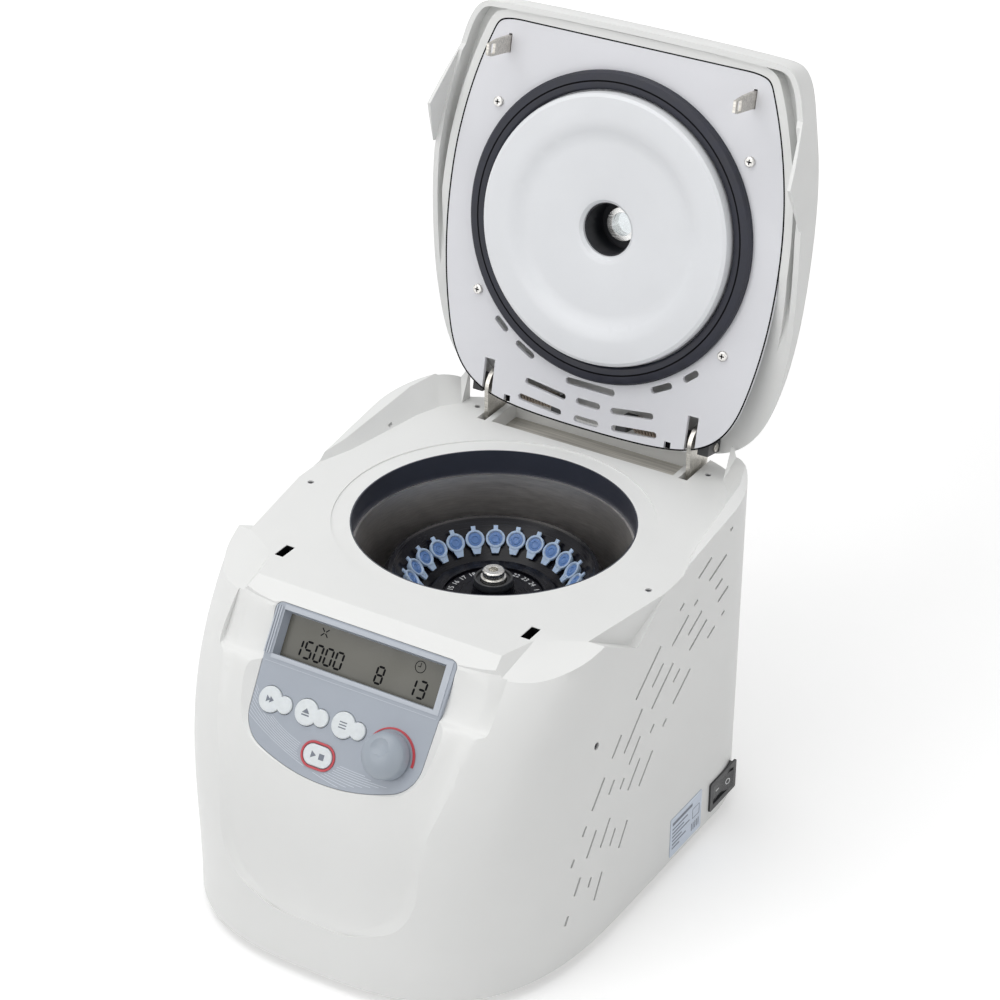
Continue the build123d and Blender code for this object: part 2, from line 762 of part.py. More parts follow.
# Knob with a finger dimple, turning in the panel
knob_foot = panel_plane.from_local_coords((knob_place[0], knob_place[1], 0))
knob_plane = Plane(
    origin=knob_foot,
    x_dir=(1, 0, 0),
    z_dir=(0, -panel_plane.z_dir.Z, panel_plane.z_dir.Y),
)
with BuildPart() as knob:
    with BuildSketch(knob_plane):
        with BuildLine():
            Polyline((0, -board_depth + 2.0), (knob_stem, -board_depth + 2.0), (knob_stem, slide_gap),
                     (knob_radius - 1.2, slide_gap), (knob_radius, 1.5), (knob_radius - 0.6, 9.0))
            ThreePointArc((knob_radius - 0.6, 9.0), (10.4, 14.0), (0, knob_height))
            Line((0, knob_height), (0, -board_depth + 2.0))
        make_face()
    revolve(axis=Axis(knob_foot, panel_plane.z_dir))
    with Locations(panel_plane * Location((knob_place[0], knob_place[1] + 7.5, knob_height + 9.2))):
        Sphere(11.5, mode=Mode.SUBTRACT)
knob.part.label = "knob"

with BuildPart() as knob_arc:
    with BuildSketch(panel_plane.offset(join_gap)):
        with Locations((knob_place[0] + 0.5, knob_place[1])):
            Circle(knob_arc_radius + 0.7)
        with Locations(knob_place):
            Circle(knob_arc_radius - 0.6, mode=Mode.SUBTRACT)
            Polygon((0, 0), (30, -3.7), (30, 30), (-30, 30), (-30, 18.7), align=None, mode=Mode.INTERSECT)
    extrude(amount=0.5)
knob_arc.part.label = "knob_arc"

# Label plate, power switch and power inlet
with BuildPart() as label_plate:
    with BuildSketch(Plane.YZ.offset(half_width + join_gap)):
        with Locations((22, 27)):
            RectangleRounded(44, 31, 1)
    extrude(amount=0.5)
label_plate.part.label = "label_plate"

with BuildPart() as switch_frame:
    with BuildSketch(Plane.YZ.offset(half_width - 14)):
        with Locations((switch_y, switch_z)):
            Rectangle(switch_length - 2 * slide_gap, switch_width - 2 * slide_gap)
    extrude(amount=14 + join_gap)
    with BuildSketch(Plane.YZ.offset(half_width + join_gap)):
        with Locations((switch_y, switch_z)):
            RectangleRounded(switch_length + 3, switch_width + 3, 1.5)
    extrude(amount=1.5)
    with BuildSketch(Plane.YZ.offset(half_width - 11)):
        with Locations((switch_y, switch_z)):
            Rectangle(rocker_length + 4, rocker_width + 2 * slide_gap)
    extrude(amount=20, mode=Mode.SUBTRACT)
    with Locations((rocker_x, switch_y, switch_z)):
        Cylinder(rocker_pin + running_gap, rocker_width + 2, mode=Mode.SUBTRACT)
switch_frame.part.label = "switch_frame"

with BuildPart() as power_rocker:
    with BuildSketch(Plane.XY.offset(switch_z - rocker_width / 2)):
        with Locations((rocker_x, switch_y)):
            half = rocker_length / 2
            Polygon((9.5, half), (6.4, 0), (6.8, -half), (3.5, -half), (-3, -4), (-3, 4), (3.5, half),
                    align=None)
    extrude(amount=rocker_width)
    with Locations((rocker_x, switch_y, switch_z)):
        Cylinder(rocker_pin, rocker_width + 1.6)
power_rocker.part.label = "power_rocker"

with BuildPart() as power_inlet:
    with BuildSketch(Plane.XZ.offset(-rear_y - join_gap)):
        with Locations((inlet_x, inlet_z)):
            RectangleRounded(inlet_width + 6, inlet_height + 6, 2)
    extrude(amount=-2.5)
    with BuildSketch(Plane.XZ.offset(-rear_y + 20)):
        with Locations((inlet_x, inlet_z)):
            Rectangle(inlet_width - 2 * slide_gap, inlet_height - 2 * slide_gap)
    extrude(amount=-20 - join_gap)
    with BuildSketch(Plane.XZ.offset(-rear_y - 2.6)):
        with Locations((inlet_x, inlet_z)):
            RectangleRounded(28, 19, 3)
    extrude(amount=17, mode=Mode.SUBTRACT)
    with BuildSketch(Plane.XZ.offset(-rear_y + 15)):
        with Locations((inlet_x - 7, inlet_z - 2), (inlet_x + 7, inlet_z - 2), (inlet_x, inlet_z + 3)):
            Rectangle(2, 4)
    extrude(amount=-14)
power_inlet.part.label = "power_inlet"

# Power board on the base plate
with BuildPart() as power_board:
    board_low = foot_height + base_thickness + join_gap
    with BuildSketch(Plane.XY.offset(board_low)):
        with Locations((-98, 30)):
            with GridLocations(50, 100, 2, 2):
                Circle(3)
    extrude(amount=6)
    with BuildSketch(Plane.XY.offset(board_low + 6)):
        with Locations((-98, 30)):
            Rectangle(64, 116)
    extrude(amount=1.6)
    with BuildSketch(Plane.XY.offset(board_low + 7.6)):
        with Locations((-88, 60)):
            Rectangle(30, 34)
        with Locations((-118, 60), (-118, 38)):
            Circle(9)
        with Locations((-84, 12)):
            Rectangle(12, 40)
    extrude(amount=26)
power_board.part.label = "power_board"

# Shaft with the armature of the motor
with BuildPart() as drive_shaft:
    with BuildSketch(level(motor_low + 4 + join_gap)):
        Circle(shaft_radius)
    extrude(amount=-44 - motor_low - 4 - join_gap)
    fillet(drive_shaft.edges().group_by(Axis.Z)[-1], 1)
drive_shaft.part.label = "drive_shaft"

armature = BuildPart()
with armature:
    add(ring(shaft_radius + join_gap, 36, motor_low + 10, motor_high - 10))
    with BuildSketch(level(motor_low + 10)):
        with PolarLocations(36, 12):
            Rectangle(5, 3)
    extrude(amount=motor_high - motor_low - 20, mode=Mode.SUBTRACT)
armature.part.label = "armature"

# Rotor: open cone with a ring of slanted tube holes
tube_axis_plane = Plane(
    origin=(tube_ring, 0, deck_z + tube_level),
    x_dir=(0, 1, 0),
    z_dir=(-sin(radians(tube_tilt)), 0, cos(radians(tube_tilt))),
)
with BuildPart() as rotor_body:
    with BuildSketch(Plane.XZ):
        with BuildLine():
            Polyline(
                (shaft_radius + join_gap, deck_z + rotor_low),
                (66, deck_z + rotor_low),
                (rotor_radius - 3, deck_z - 84),
                (rotor_radius, deck_z - 74),
                (rotor_radius - 2, deck_z - 66),
                (rotor_rim + 1.6, deck_z + rotor_rim_level),
                (rotor_rim - 1.2, deck_z + rotor_rim_level),
                (rotor_rim - 3, deck_z + rotor_rim_level - 2.4),
                (44, deck_z - 60.5),
                (42, deck_z - 60.5),
                (42, deck_z - 57.5),
                (34, deck_z - 57.5),
                (34, deck_z - 60),
                (15, deck_z - 60),
                (13.5, deck_z - 50),
                (shaft_radius + join_gap, deck_z - 50),
                close=True,
            )
        make_face()
    revolve()
    with BuildPart(mode=Mode.PRIVATE) as bore:
        with BuildSketch(tube_axis_plane.offset(8)):
            Circle(tube_radius + slide_gap)
        extrude(amount=-tube_length - 9)
    with PolarLocations(0, tube_count):
        add(bore.part, mode=Mode.SUBTRACT)
rotor_body.part.label = "rotor_body"

# Tubes standing in the rotor, and their caps with a tab outside and a strap inside
with BuildPart() as tubes:
    with BuildPart(mode=Mode.PRIVATE) as tube:
        with BuildSketch(Plane(origin=tube_axis_plane.origin, x_dir=tube_axis_plane.z_dir, z_dir=(0, -1, 0))):
            with BuildLine():
                Polyline((-1.6, 0), (-1.6, tube_radius), (-tube_length, tube_radius), (-tube_length, 0),
                         close=True)
            make_face()
        revolve(axis=Axis(tube_axis_plane.origin, tube_axis_plane.z_dir))
    with PolarLocations(0, tube_count):
        add(tube.part)
tubes.part.label = "tubes"

with BuildPart() as tube_caps:
    with BuildPart(mode=Mode.PRIVATE) as cap:
        with BuildSketch(tube_axis_plane.offset(-1.6 + join_gap)):
            Circle(cap_radius)
            Polygon((-3.6, 5.0), (3.6, 5.0), (2.2, 10.4), (-2.2, 10.4), align=None)
            with Locations((0, -7.0)):
                Rectangle(3.0, 4.6)
        extrude(amount=2.2)
        with BuildSketch(tube_axis_plane.offset(0.6)):
            Circle(4.6)
        extrude(amount=-1.0, mode=Mode.SUBTRACT)
        with BuildSketch(tube_axis_plane.offset(-0.4)):
            Circle(2.6)
        extrude(amount=0.7)
    with PolarLocations(0, tube_count):
        add(cap.part)
tube_caps.part.label = "tube_caps"

# Number disc, black collar and the socket nut on the shaft
number_disc = BuildPart()
with number_disc:
    add(ring(15.4, 33.4, -60 + join_gap, -59.2))
number_disc.part.label = "number_disc"

with BuildPart() as rotor_collar:
    with BuildSketch(Plane.XZ):
        with BuildLine():
            Polyline(
                (shaft_radius + 3, deck_z - 50 + join_gap),
                (13.2, deck_z - 50 + join_gap),
                (13.6, deck_z - 48.5),
                (13.0, deck_z - 45),
                (11.4, deck_z - 45),
                (11.0, deck_z - 46.5),
                (shaft_radius + 3, deck_z - 46.5),
                close=True,
            )
        make_face()
    revolve()
rotor_collar.part.label = "rotor_collar"

with BuildPart() as lock_nut:
    with BuildSketch(level(-50 + join_gap)):
        Circle(shaft_radius + 2.6)
    extrude(amount=6)
    with BuildSketch(level(-44 + join_gap)):
        Circle(7.4)
    extrude(amount=5)
    chamfer(lock_nut.edges().group_by(Axis.Z)[-1], 0.8)
    with BuildSketch(level(-50)):
        Circle(shaft_radius + join_gap)
    extrude(amount=6 + join_gap, mode=Mode.SUBTRACT)
    with BuildSketch(level(-39 + join_gap)):
        RegularPolygon(3.6, 6)
    extrude(amount=-4.5, mode=Mode.SUBTRACT)
lock_nut.part.label = "lock_nut"

# Latch frame under the deck with the motor that turns the pinion
with BuildPart() as latch_frame:
    with BuildSketch(level(bolt_low - 5)):
        with Locations((0, -112)):
            Rectangle(212, 22)
            Circle(running_gap + 2, mode=Mode.SUBTRACT)
    extrude(amount=-2)
    for side in (-1, 1):
        with BuildSketch(level(bolt_low - 7)):
            with Locations((side * 105, -112)):
                Rectangle(2, 22)
        extrude(amount=-deck_thickness - join_gap - bolt_low + 7)
latch_frame.part.label = "latch_frame"

with BuildPart() as latch_motor:
    with BuildSketch(level(bolt_low - 7 - join_gap)):
        with Locations((0, latch_y)):
            Circle(10.5)
    extrude(amount=-24)
    with BuildSketch(level(bolt_low - 7 - join_gap)):
        with Locations((0, latch_y)):
            Circle(2 + running_gap)
    extrude(amount=-6, mode=Mode.SUBTRACT)
latch_motor.part.label = "latch_motor"

# Pinion between the two racks
pitch_radius = gear_module * gear_teeth / 2
with BuildPart() as latch_pinion:
    with BuildSketch(level(bolt_low)):
        with Locations((0, latch_y)):
            Circle(pitch_radius - 1.25 * gear_module)
            for turn in range(gear_teeth):
                with Locations(Location((0, 0, 0), (0, 0, 360 / gear_teeth * turn))):
                    Polygon((3.5, -1.0), (5.0, -0.75), (6.8, -0.2), (6.8, 0.2), (5.0, 0.75), (3.5, 1.0),
                            align=None)
    extrude(amount=bolt_high - bolt_low)
    with BuildSketch(level(bolt_low)):
        with Locations((0, latch_y)):
            Circle(2)
    extrude(amount=-10)
latch_pinion.part.label = "latch_pinion"

# Racks and the bolts they push out through the lid hooks
rack_nodes = []
bolt_nodes = []
for side in (1, -1):
    with BuildPart() as rack:
        root = pitch_radius + 1.25 * gear_module
        with BuildSketch(level(bolt_low)):
            with Locations((side * (rack_end - rack_length / 2), latch_y - side * (root + 1.8))):
                Rectangle(rack_length, 3.6)
            for index in range(-4, 4):
                middle = (index + 0.5) * 3.14159 * gear_module
                with BuildLine():
                    Polyline(
                        (middle - 0.95, latch_y - side * (root + 0.2)),
                        (middle - 0.8, latch_y - side * root),
                        (middle - 0.2, latch_y - side * (pitch_radius - 1.0)),
                        (middle + 0.2, latch_y - side * (pitch_radius - 1.0)),
                        (middle + 0.8, latch_y - side * root),
                        (middle + 0.95, latch_y - side * (root + 0.2)),
                        close=True,
                    )
                make_face()
        extrude(amount=bolt_high - bolt_low)
    with BuildPart() as bolt:
        far = latch_y - side * (root + 3.6)
        rack_side = latch_y - side * (root - join_gap)
        with BuildSketch(level(bolt_low)):
            Polygon(
                (side * (rack_end + join_gap), far),
                (side * (rack_end + 2), far),
                (side * (rack_end + 2), bolt_y - side * 3),
                (side * bolt_nose, bolt_y - side * 3),
                (side * bolt_nose, bolt_y + side * 3),
                (side * (rack_end - 4), bolt_y + side * 3),
                (side * (rack_end - 4), rack_side),
                (side * (rack_end + join_gap), rack_side),
                align=None,
            )
        extrude(amount=bolt_high - bolt_low)
    rack_nodes.append(rack)
    bolt_nodes.append(bolt)
latch_rack_right, latch_rack_left = rack_nodes
latch_bolt_right, latch_bolt_left = bolt_nodes
latch_rack_right.part.label = "latch_rack_right"
latch_rack_left.part.label = "latch_rack_left"
latch_bolt_right.part.label = "latch_bolt_right"
latch_bolt_left.part.label = "latch_bolt_left"


def shifted(points, grow):
    """Points moved outwards along the local normal of a mirrored outline."""
    first = (-points[1][0], points[1][1])
    last = (-points[-2][0], points[-2][1])
    chain = [first] + list(points) + [last]
    moved = []
    for before, here, after in zip(chain, chain[1:], chain[2:]):
        dx = after[0] - before[0]
        dy = after[1] - before[1]
        length = (dx * dx + dy * dy) ** 0.5
        moved.append((here[0] + dy / length * grow, here[1] - dx / length * grow))
    return moved


def spline_outline(points, grow):
    """Smooth outline mirrored about the middle plane, grown or shrunk all round."""
    right = shifted(points, grow)
    with BuildSketch() as outline:
        with BuildLine():
            Spline(*right, tangents=[(1, 0), (-1, 0)])
            Spline(*[(-x, y) for x, y in right], tangents=[(-1, 0), (1, 0)])
        make_face()
    return outline.sketch


# Lid shell with its skirt and wings
with BuildPart() as lid_shell:
    extrude(level(-25) * spline_outline(lid_outline, 0), amount=lid_top - 10 + 25)
    for low, shrink in ((10, 0), (3, 3)):
        high = {10: 3, 3: 0}[low]
        more = {0: 3, 3: 10}[shrink]
        loft([
            (level(lid_top - low) * spline_outline(lid_outline, -shrink)).face(),
            (level(lid_top - high) * spline_outline(lid_outline, -more)).face(),
        ])
    with BuildSketch(Plane.YZ):
        with BuildLine():
            edge = [(y, deck_z + h) for y, h in skirt_edge]
            Polyline((-150, deck_z + 3), *edge, (150, deck_z - 40), (-150, deck_z - 40), close=True)
        make_face()
    extrude(amount=150, both=True, mode=Mode.SUBTRACT)
    # inside of the skirt, and the wing kept clear of the wall inside the notch
    extrude(level(-26) * spline_outline(lid_outline, -lid_skirt), amount=26 + plate_level, mode=Mode.SUBTRACT)
    wing = [(0, -150), (96, -118), (facet_front[0] + 0.8, facet_front[1]),
            (facet_rear[0] + 0.5, facet_rear[1]), (0, 0)]
    extrude(plan_polygon(wing, -26), amount=26.8, mode=Mode.SUBTRACT)
    # seat of the plate and the hollow above it
    extrude(level(plate_level) * spline_outline(plate_outline, slide_gap), amount=plate_thickness + join_gap,
            mode=Mode.SUBTRACT)
    extrude(level(plate_level) * spline_outline(plate_outline, -4), amount=lid_top - lid_wall - plate_level,
            mode=Mode.SUBTRACT)
    # room for the hinge behind the plate
    with BuildSketch(level(plate_level + plate_thickness + join_gap)):
        with Locations((0, 129.3)):
            Rectangle(186.6, 18.6)
        with Locations((0, 130.3)):
            Rectangle(132, 20.6)
    extrude(amount=20, mode=Mode.SUBTRACT)
    # groove between the frame and the skirt
    with BuildSketch(level(plate_level)):
        add(spline_outline(lid_outline, -lid_skirt))
        add(spline_outline(plate_outline, frame_width), mode=Mode.SUBTRACT)
    extrude(amount=10, mode=Mode.SUBTRACT)
    # posts that carry the plate
    with BuildSketch(level(plate_level + plate_thickness + join_gap)):
        with Locations(*plate_screw_places):
            Circle(5)
    extrude(amount=lid_top - lid_wall - plate_level - plate_thickness)
    with BuildSketch(level(plate_level)):
        with Locations(*plate_screw_places):
            Circle(1.5 + join_gap)
    extrude(amount=12, mode=Mode.SUBTRACT)
    # slots of the hinge ears and the opening of the sight glass
    with BuildSketch(level(-26)):
        with Locations((-ear_x, 135), (ear_x, 135)):
            Rectangle(ear_slot, 36)
    extrude(amount=lid_top + 30, mode=Mode.SUBTRACT)
    with BuildSketch(level(lid_top)):
        Circle(12 + join_gap)
    extrude(amount=-6, mode=Mode.SUBTRACT)

# Inner plate of the lid
with BuildPart() as lid_plate:
    extrude(level(plate_level) * spline_outline(plate_outline, 0), amount=plate_thickness)
    with BuildSketch(level(plate_level)):
        Circle(21)
        for x, y, length, turn in plate_slots:
            with Locations((x, y)):
                SlotOverall(length, 4.6, rotation=turn)
            with Locations((-x, y)):
                SlotOverall(length, 4.6, rotation=-turn)
        for x, y, length in middle_slots:
            with Locations((x, y)):
                SlotOverall(length, 4.8)
        with Locations((-ear_x, 132), (ear_x, 132)):
            Rectangle(ear_slot + 1.4, 39.4)
        with Locations((-63.4, 141), (63.4, 141)):
            Rectangle(5, 12.5)
        with Locations((-hook_x, -108), (hook_x, -108)):
            Rectangle(hook_sheet + 0.6, 13)
        with Locations(*plate_screw_places):
            Circle(1.8)
    extrude(amount=plate_thickness, mode=Mode.SUBTRACT)

# Raised dish with a stepped face
with BuildPart() as lid_dish:
    with BuildSketch(Plane.XZ):
        with BuildLine():
            top = deck_z + plate_level - join_gap
            low = deck_z + dish_level
            Polyline((dish_radius, top), (dish_radius, low + 3.4), (dish_radius - 0.8, low + 1.2),
                     (dish_radius - 3, low), (77, low), (71, low + 0.8), (64, low + 4.2), (58, low + 5),
                     (24, low + 5),
                     (20.5, low + 5.8), (18.4, low + 8), (18.4, top),
                     (20.6, top), (20.6, low + 9), (24, low + 7.4), (58, low + 7.4), (65, low + 6.6),
                     (72, low + 3.2),
                     (77, low + 2.4), (dish_radius - 4, low + 2.4), (dish_radius - 2.6, low + 4),
                     (dish_radius - 2.6, top),
                     close=True)
        make_face()
    revolve()

# Rubber seal round the dish
with BuildPart() as lid_seal:
    with BuildSketch(Plane.XZ):
        with BuildLine():
            low = deck_z - seat_depth + 0.2
            top = deck_z + plate_level - join_gap
            Polyline((seal_inner, top), (seal_inner, low + 2.2), (seal_inner + 1.4, low + 0.6),
                     (seal_inner + 4, low),
                     (seal_outer - 4, low), (seal_outer - 1.4, low + 0.6), (seal_outer, low + 2.2),
                     (seal_outer, top),
                     close=True)
        make_face()
    revolve()

# Sight glass: dark tube, metal ring and window
with BuildPart() as sight_tube:
    with BuildSketch(Plane.XZ):
        with BuildLine():
            low = deck_z + dish_level + 10
            Polyline((sight_radius, low), (18.3, low), (18.3, deck_z + plate_level + 0.6),
                     (20.4, deck_z + plate_level + 0.6), (20.4, deck_z + 29.9), (9.8, deck_z + 29.9),
                     (9.8, deck_z + 27.4), (sight_radius, deck_z + 27.4), close=True)
        make_face()
    revolve()

with BuildPart() as sight_ring:
    with BuildSketch(Plane.XZ):
        with BuildLine():
            Polyline((8, deck_z + 22.5), (11.6, deck_z + 22.5), (12, deck_z + 23.2), (12, deck_z + 27.3),
                     (9.7, deck_z + 27.3), (9.7, deck_z + lid_top), (8, deck_z + lid_top), close=True)
        make_face()
    revolve()

sight_window = BuildPart()
with sight_window:
    add(ring(0, 8 - join_gap, 24, 26))

# Bent steel hooks of the latch
with BuildPart() as latch_hooks:
    with BuildSketch(Plane.YZ.offset(hook_x - hook_sheet / 2)):
        with BuildLine():
            Polyline((-102, deck_z + 10), (-113.5, deck_z + 10), (-113.5, deck_z), (-112.9, deck_z - 12),
                     (-110.9, deck_z + hook_low), (-103.2, deck_z + hook_low),
                     (-102, deck_z + hook_low + 4), close=True)
        make_face()
        with Locations((bolt_y, deck_z + (bolt_low + bolt_high) / 2)):
            Rectangle(7.0, bolt_high - bolt_low + 1.2, mode=Mode.SUBTRACT)
    extrude(amount=hook_sheet)
    with BuildSketch(level(plate_level + plate_thickness + join_gap)):
        with Locations((hook_x - 4, -107.75)):
            Rectangle(8, 11.5)
    extrude(amount=2)
    mirror(about=Plane.YZ)

# Screws of the plate
with BuildPart() as plate_screws:
    with BuildSketch(level(plate_level - join_gap)):
        with Locations(*plate_screw_places):
            Circle(3.6)
    extrude(amount=-2.2)
    fillet(plate_screws.edges().group_by(Axis.Z)[0], 1)
    with BuildSketch(level(plate_level - join_gap - 2.2)):
        with Locations(*plate_screw_places):
            Rectangle(3.6, 0.9)
            Rectangle(0.9, 3.6)
    extrude(amount=1, mode=Mode.SUBTRACT)
    with BuildSketch(level(plate_level - 0.5)):
        with Locations(*plate_screw_places):
            Circle(1.5)
    extrude(amount=10)

# Hinge inside the lid: blocks on the plate, pins through the ears, springs on the pins
with BuildPart() as hinge_blocks:
    with BuildSketch(level(plate_level + plate_thickness + join_gap)):
        for x in (25.5, 70, 89):
            with Locations((-x, 134), (x, 134)):
                Rectangle(8, 9)
    extrude(amount=17)
    with BuildSketch(Plane.YZ):
        with Locations((hinge_y, deck_z + hinge_level)):
            Circle(pin_radius + join_gap)
    extrude(amount=120, both=True, mode=Mode.SUBTRACT)

with BuildPart() as hinge_pins:
    with BuildSketch(Plane.YZ.offset(22)):
        with Locations((hinge_y, deck_z + hinge_level)):
            Circle(pin_radius)
    extrude(amount=72)
    mirror(about=Plane.YZ)

with BuildPart() as lid_springs:
    with BuildSketch(Plane.XZ.offset(-hinge_y)):
        with BuildLine():
            coils = 12
            pitch = 2.6
            first = 31.0
            axis_z = deck_z + hinge_level
            waves = [(first, axis_z + 3.4), (first, axis_z + 5.4)]
            for turn in range(coils):
                waves.append((first + pitch * (turn + 0.5), axis_z + 6.4))
                waves.append((first + pitch * (turn + 1), axis_z + 5.4))
            Polyline(*waves, (first + pitch * coils, axis_z + 3.4), close=True)
        make_face()
    revolve(axis=Axis((0, hinge_y, deck_z + hinge_level), (1, 0, 0)))
    mirror(about=Plane.YZ)

# The lid group is drawn closed and turned up about the hinge
hinge_axis = Axis((0, hinge_y, deck_z + hinge_level), (1, 0, 0))
lid_group = {
    "lid_shell": lid_shell,
    "lid_plate": lid_plate,
    "lid_dish": lid_dish,
    "lid_seal": lid_seal,
    "sight_tube": sight_tube,
    "sight_ring": sight_ring,
    "sight_window": sight_window,
    "latch_hooks": latch_hooks,
    "plate_screws": plate_screws,
    "hinge_blocks": hinge_blocks,
    "hinge_pins": hinge_pins,
    "lid_springs": lid_springs,
}
fixed_group = [
    housing_shell, base_plate, feet, deck_screws, side_screws, chamber_collar, chamber_bowl, guard_ring,
    motor_can, motor_bracket, motor_dampers, hinge_bracket, bracket_screws, control_panel, display_glass,
    panel_board, button_switches, encoder, button_left, button_middle, button_right, start_button, start_ring,
    knob, knob_arc, label_plate, switch_frame, power_rocker, power_inlet, power_board, drive_shaft, armature,
    rotor_body, tubes, tube_caps, number_disc, rotor_collar, lock_nut, latch_frame, latch_motor, latch_pinion,
    latch_rack_right, latch_rack_left, latch_bolt_right, latch_bolt_left,
]

os.makedirs("parts", exist_ok=True)
for node in fixed_group:
    export_step(node.part, f"parts/{node.part.label}.step")
for name, node in lid_group.items():
    raised = node.part.rotate(hinge_axis, -open_angle)
    raised.label = name
    export_step(raised, f"parts/{name}.step")
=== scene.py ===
import json
from math import cos, pi, radians, sin

import bmesh
import bpy
from mathutils import Matrix, Vector
from mathutils.geometry import convex_hull_2d


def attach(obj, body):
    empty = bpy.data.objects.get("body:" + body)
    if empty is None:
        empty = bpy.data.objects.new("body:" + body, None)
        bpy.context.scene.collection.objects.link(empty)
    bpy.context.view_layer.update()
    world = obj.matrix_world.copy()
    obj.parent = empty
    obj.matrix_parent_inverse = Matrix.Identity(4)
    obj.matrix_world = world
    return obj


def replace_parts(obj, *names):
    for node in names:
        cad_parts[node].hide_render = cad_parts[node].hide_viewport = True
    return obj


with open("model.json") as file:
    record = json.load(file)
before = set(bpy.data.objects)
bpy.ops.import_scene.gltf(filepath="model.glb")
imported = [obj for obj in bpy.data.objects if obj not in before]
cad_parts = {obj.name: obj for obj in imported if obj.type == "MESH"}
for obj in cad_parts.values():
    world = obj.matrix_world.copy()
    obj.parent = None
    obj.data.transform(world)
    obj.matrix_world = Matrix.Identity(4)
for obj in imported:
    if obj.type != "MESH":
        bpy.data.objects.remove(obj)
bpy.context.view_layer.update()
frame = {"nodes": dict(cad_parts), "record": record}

# Lengths are written in millimetres and multiplied by this
mm = 0.001
deck_z = 233.0

record = frame["record"]
body_of = {node: body for body, members in record["behaviour"]["bodies"].items() for node in members}
slot_of = {row["node"]: row["material_slot"] for row in record["subparts"]}

# Control panel: origin in the middle of its top edge, first axis right, second up the slope, third outwards
panel_out = Vector((0, -0.842, 0.539)).normalized()
panel_up = panel_out.cross(Vector((1, 0, 0)))
panel_place = Matrix.Translation(Vector((0, -150.9, 226.9)) * mm) @ Matrix((
    (1, 0, 0, 0),
    (0, panel_up.y, panel_out.y, 0),
    (0, panel_up.z, panel_out.z, 0),
    (0, 0, 0, 1),
))

# Lid: pieces are drawn closed and turned up about the hinge
hinge_y = 133.9
hinge_z = deck_z + 18.6
hinge_point = Vector((0, hinge_y, hinge_z)) * mm
lid_angle = 100.9
lid_place = (
    Matrix.Translation(hinge_point)
    @ Matrix.Rotation(radians(-lid_angle), 4, "X")
    @ Matrix.Translation(-hinge_point)
)


# Finishes

def new_finish(name):
    """Material with its shader and a reader of the object's own coordinates."""
    material = bpy.data.materials.new(name)
    material.use_nodes = True
    tree = material.node_tree
    shader = tree.nodes["Principled BSDF"]
    reader = tree.nodes.new("ShaderNodeTexCoord")
    return material, tree, shader, reader.outputs["Object"]


def noise(tree, coords, scale, detail=3.0, stretch=(1, 1, 1)):
    """Noise pattern, stretched along the axes if asked."""
    if stretch != (1, 1, 1):
        mapping = tree.nodes.new("ShaderNodeMapping")
        mapping.inputs["Scale"].default_value = stretch
        tree.links.new(coords, mapping.inputs["Vector"])
        coords = mapping.outputs["Vector"]
    pattern = tree.nodes.new("ShaderNodeTexNoise")
    pattern.inputs["Scale"].default_value = scale
    pattern.inputs["Detail"].default_value = detail
    tree.links.new(coords, pattern.inputs["Vector"])
    return pattern.outputs["Fac"]


def shades(tree, value, low, high):
    """Colour that runs between two tones over the middle values of a pattern."""
    ramp = tree.nodes.new("ShaderNodeValToRGB")
    ramp.color_ramp.elements[0].position = 0.35
    ramp.color_ramp.elements[1].position = 0.65
    ramp.color_ramp.elements[0].color = (*low, 1)
    ramp.color_ramp.elements[1].color = (*high, 1)
    tree.links.new(value, ramp.inputs["Fac"])
    return ramp.outputs["Color"]


def spread(tree, value, low, high):
    """Number that runs between two values with a pattern."""
    remap = tree.nodes.new("ShaderNodeMapRange")
    remap.inputs["From Min"].default_value = 0.3
    remap.inputs["From Max"].default_value = 0.7
    remap.inputs["To Min"].default_value = low
    remap.inputs["To Max"].default_value = high
    tree.links.new(value, remap.inputs["Value"])
    return remap.outputs["Result"]


def relief(tree, shader, value, depth):
    """Surface relief from a pattern, depth in metres."""
    bump = tree.nodes.new("ShaderNodeBump")
    bump.inputs["Distance"].default_value = depth
    bump.inputs["Strength"].default_value = 1.0
    tree.links.new(value, bump.inputs["Height"])
    tree.links.new(bump.outputs["Normal"], shader.inputs["Normal"])


def worn_edges(tree, colour, lighter):
    """Lightens a colour where the surface turns sharply outwards: a painted highlight on the edges."""
    shape = tree.nodes.new("ShaderNodeNewGeometry")
    remap = tree.nodes.new("ShaderNodeMapRange")
    remap.inputs["From Min"].default_value = 0.52
    remap.inputs["From Max"].default_value = 0.6
    tree.links.new(shape.outputs["Pointiness"], remap.inputs["Value"])
    mix = tree.nodes.new("ShaderNodeMix")
    mix.data_type = "RGBA"
    tree.links.new(remap.outputs["Result"], mix.inputs["Factor"])
    tree.links.new(colour, mix.inputs["A"])
    mix.inputs["B"].default_value = (*lighter, 1)
    return mix.outputs["Result"]


def either_side(tone, swing):
    """A slightly darker and a slightly lighter tone."""
    return tuple(c * (1 - swing) for c in tone), tuple(min(1.0, c * (1 + swing)) for c in tone)


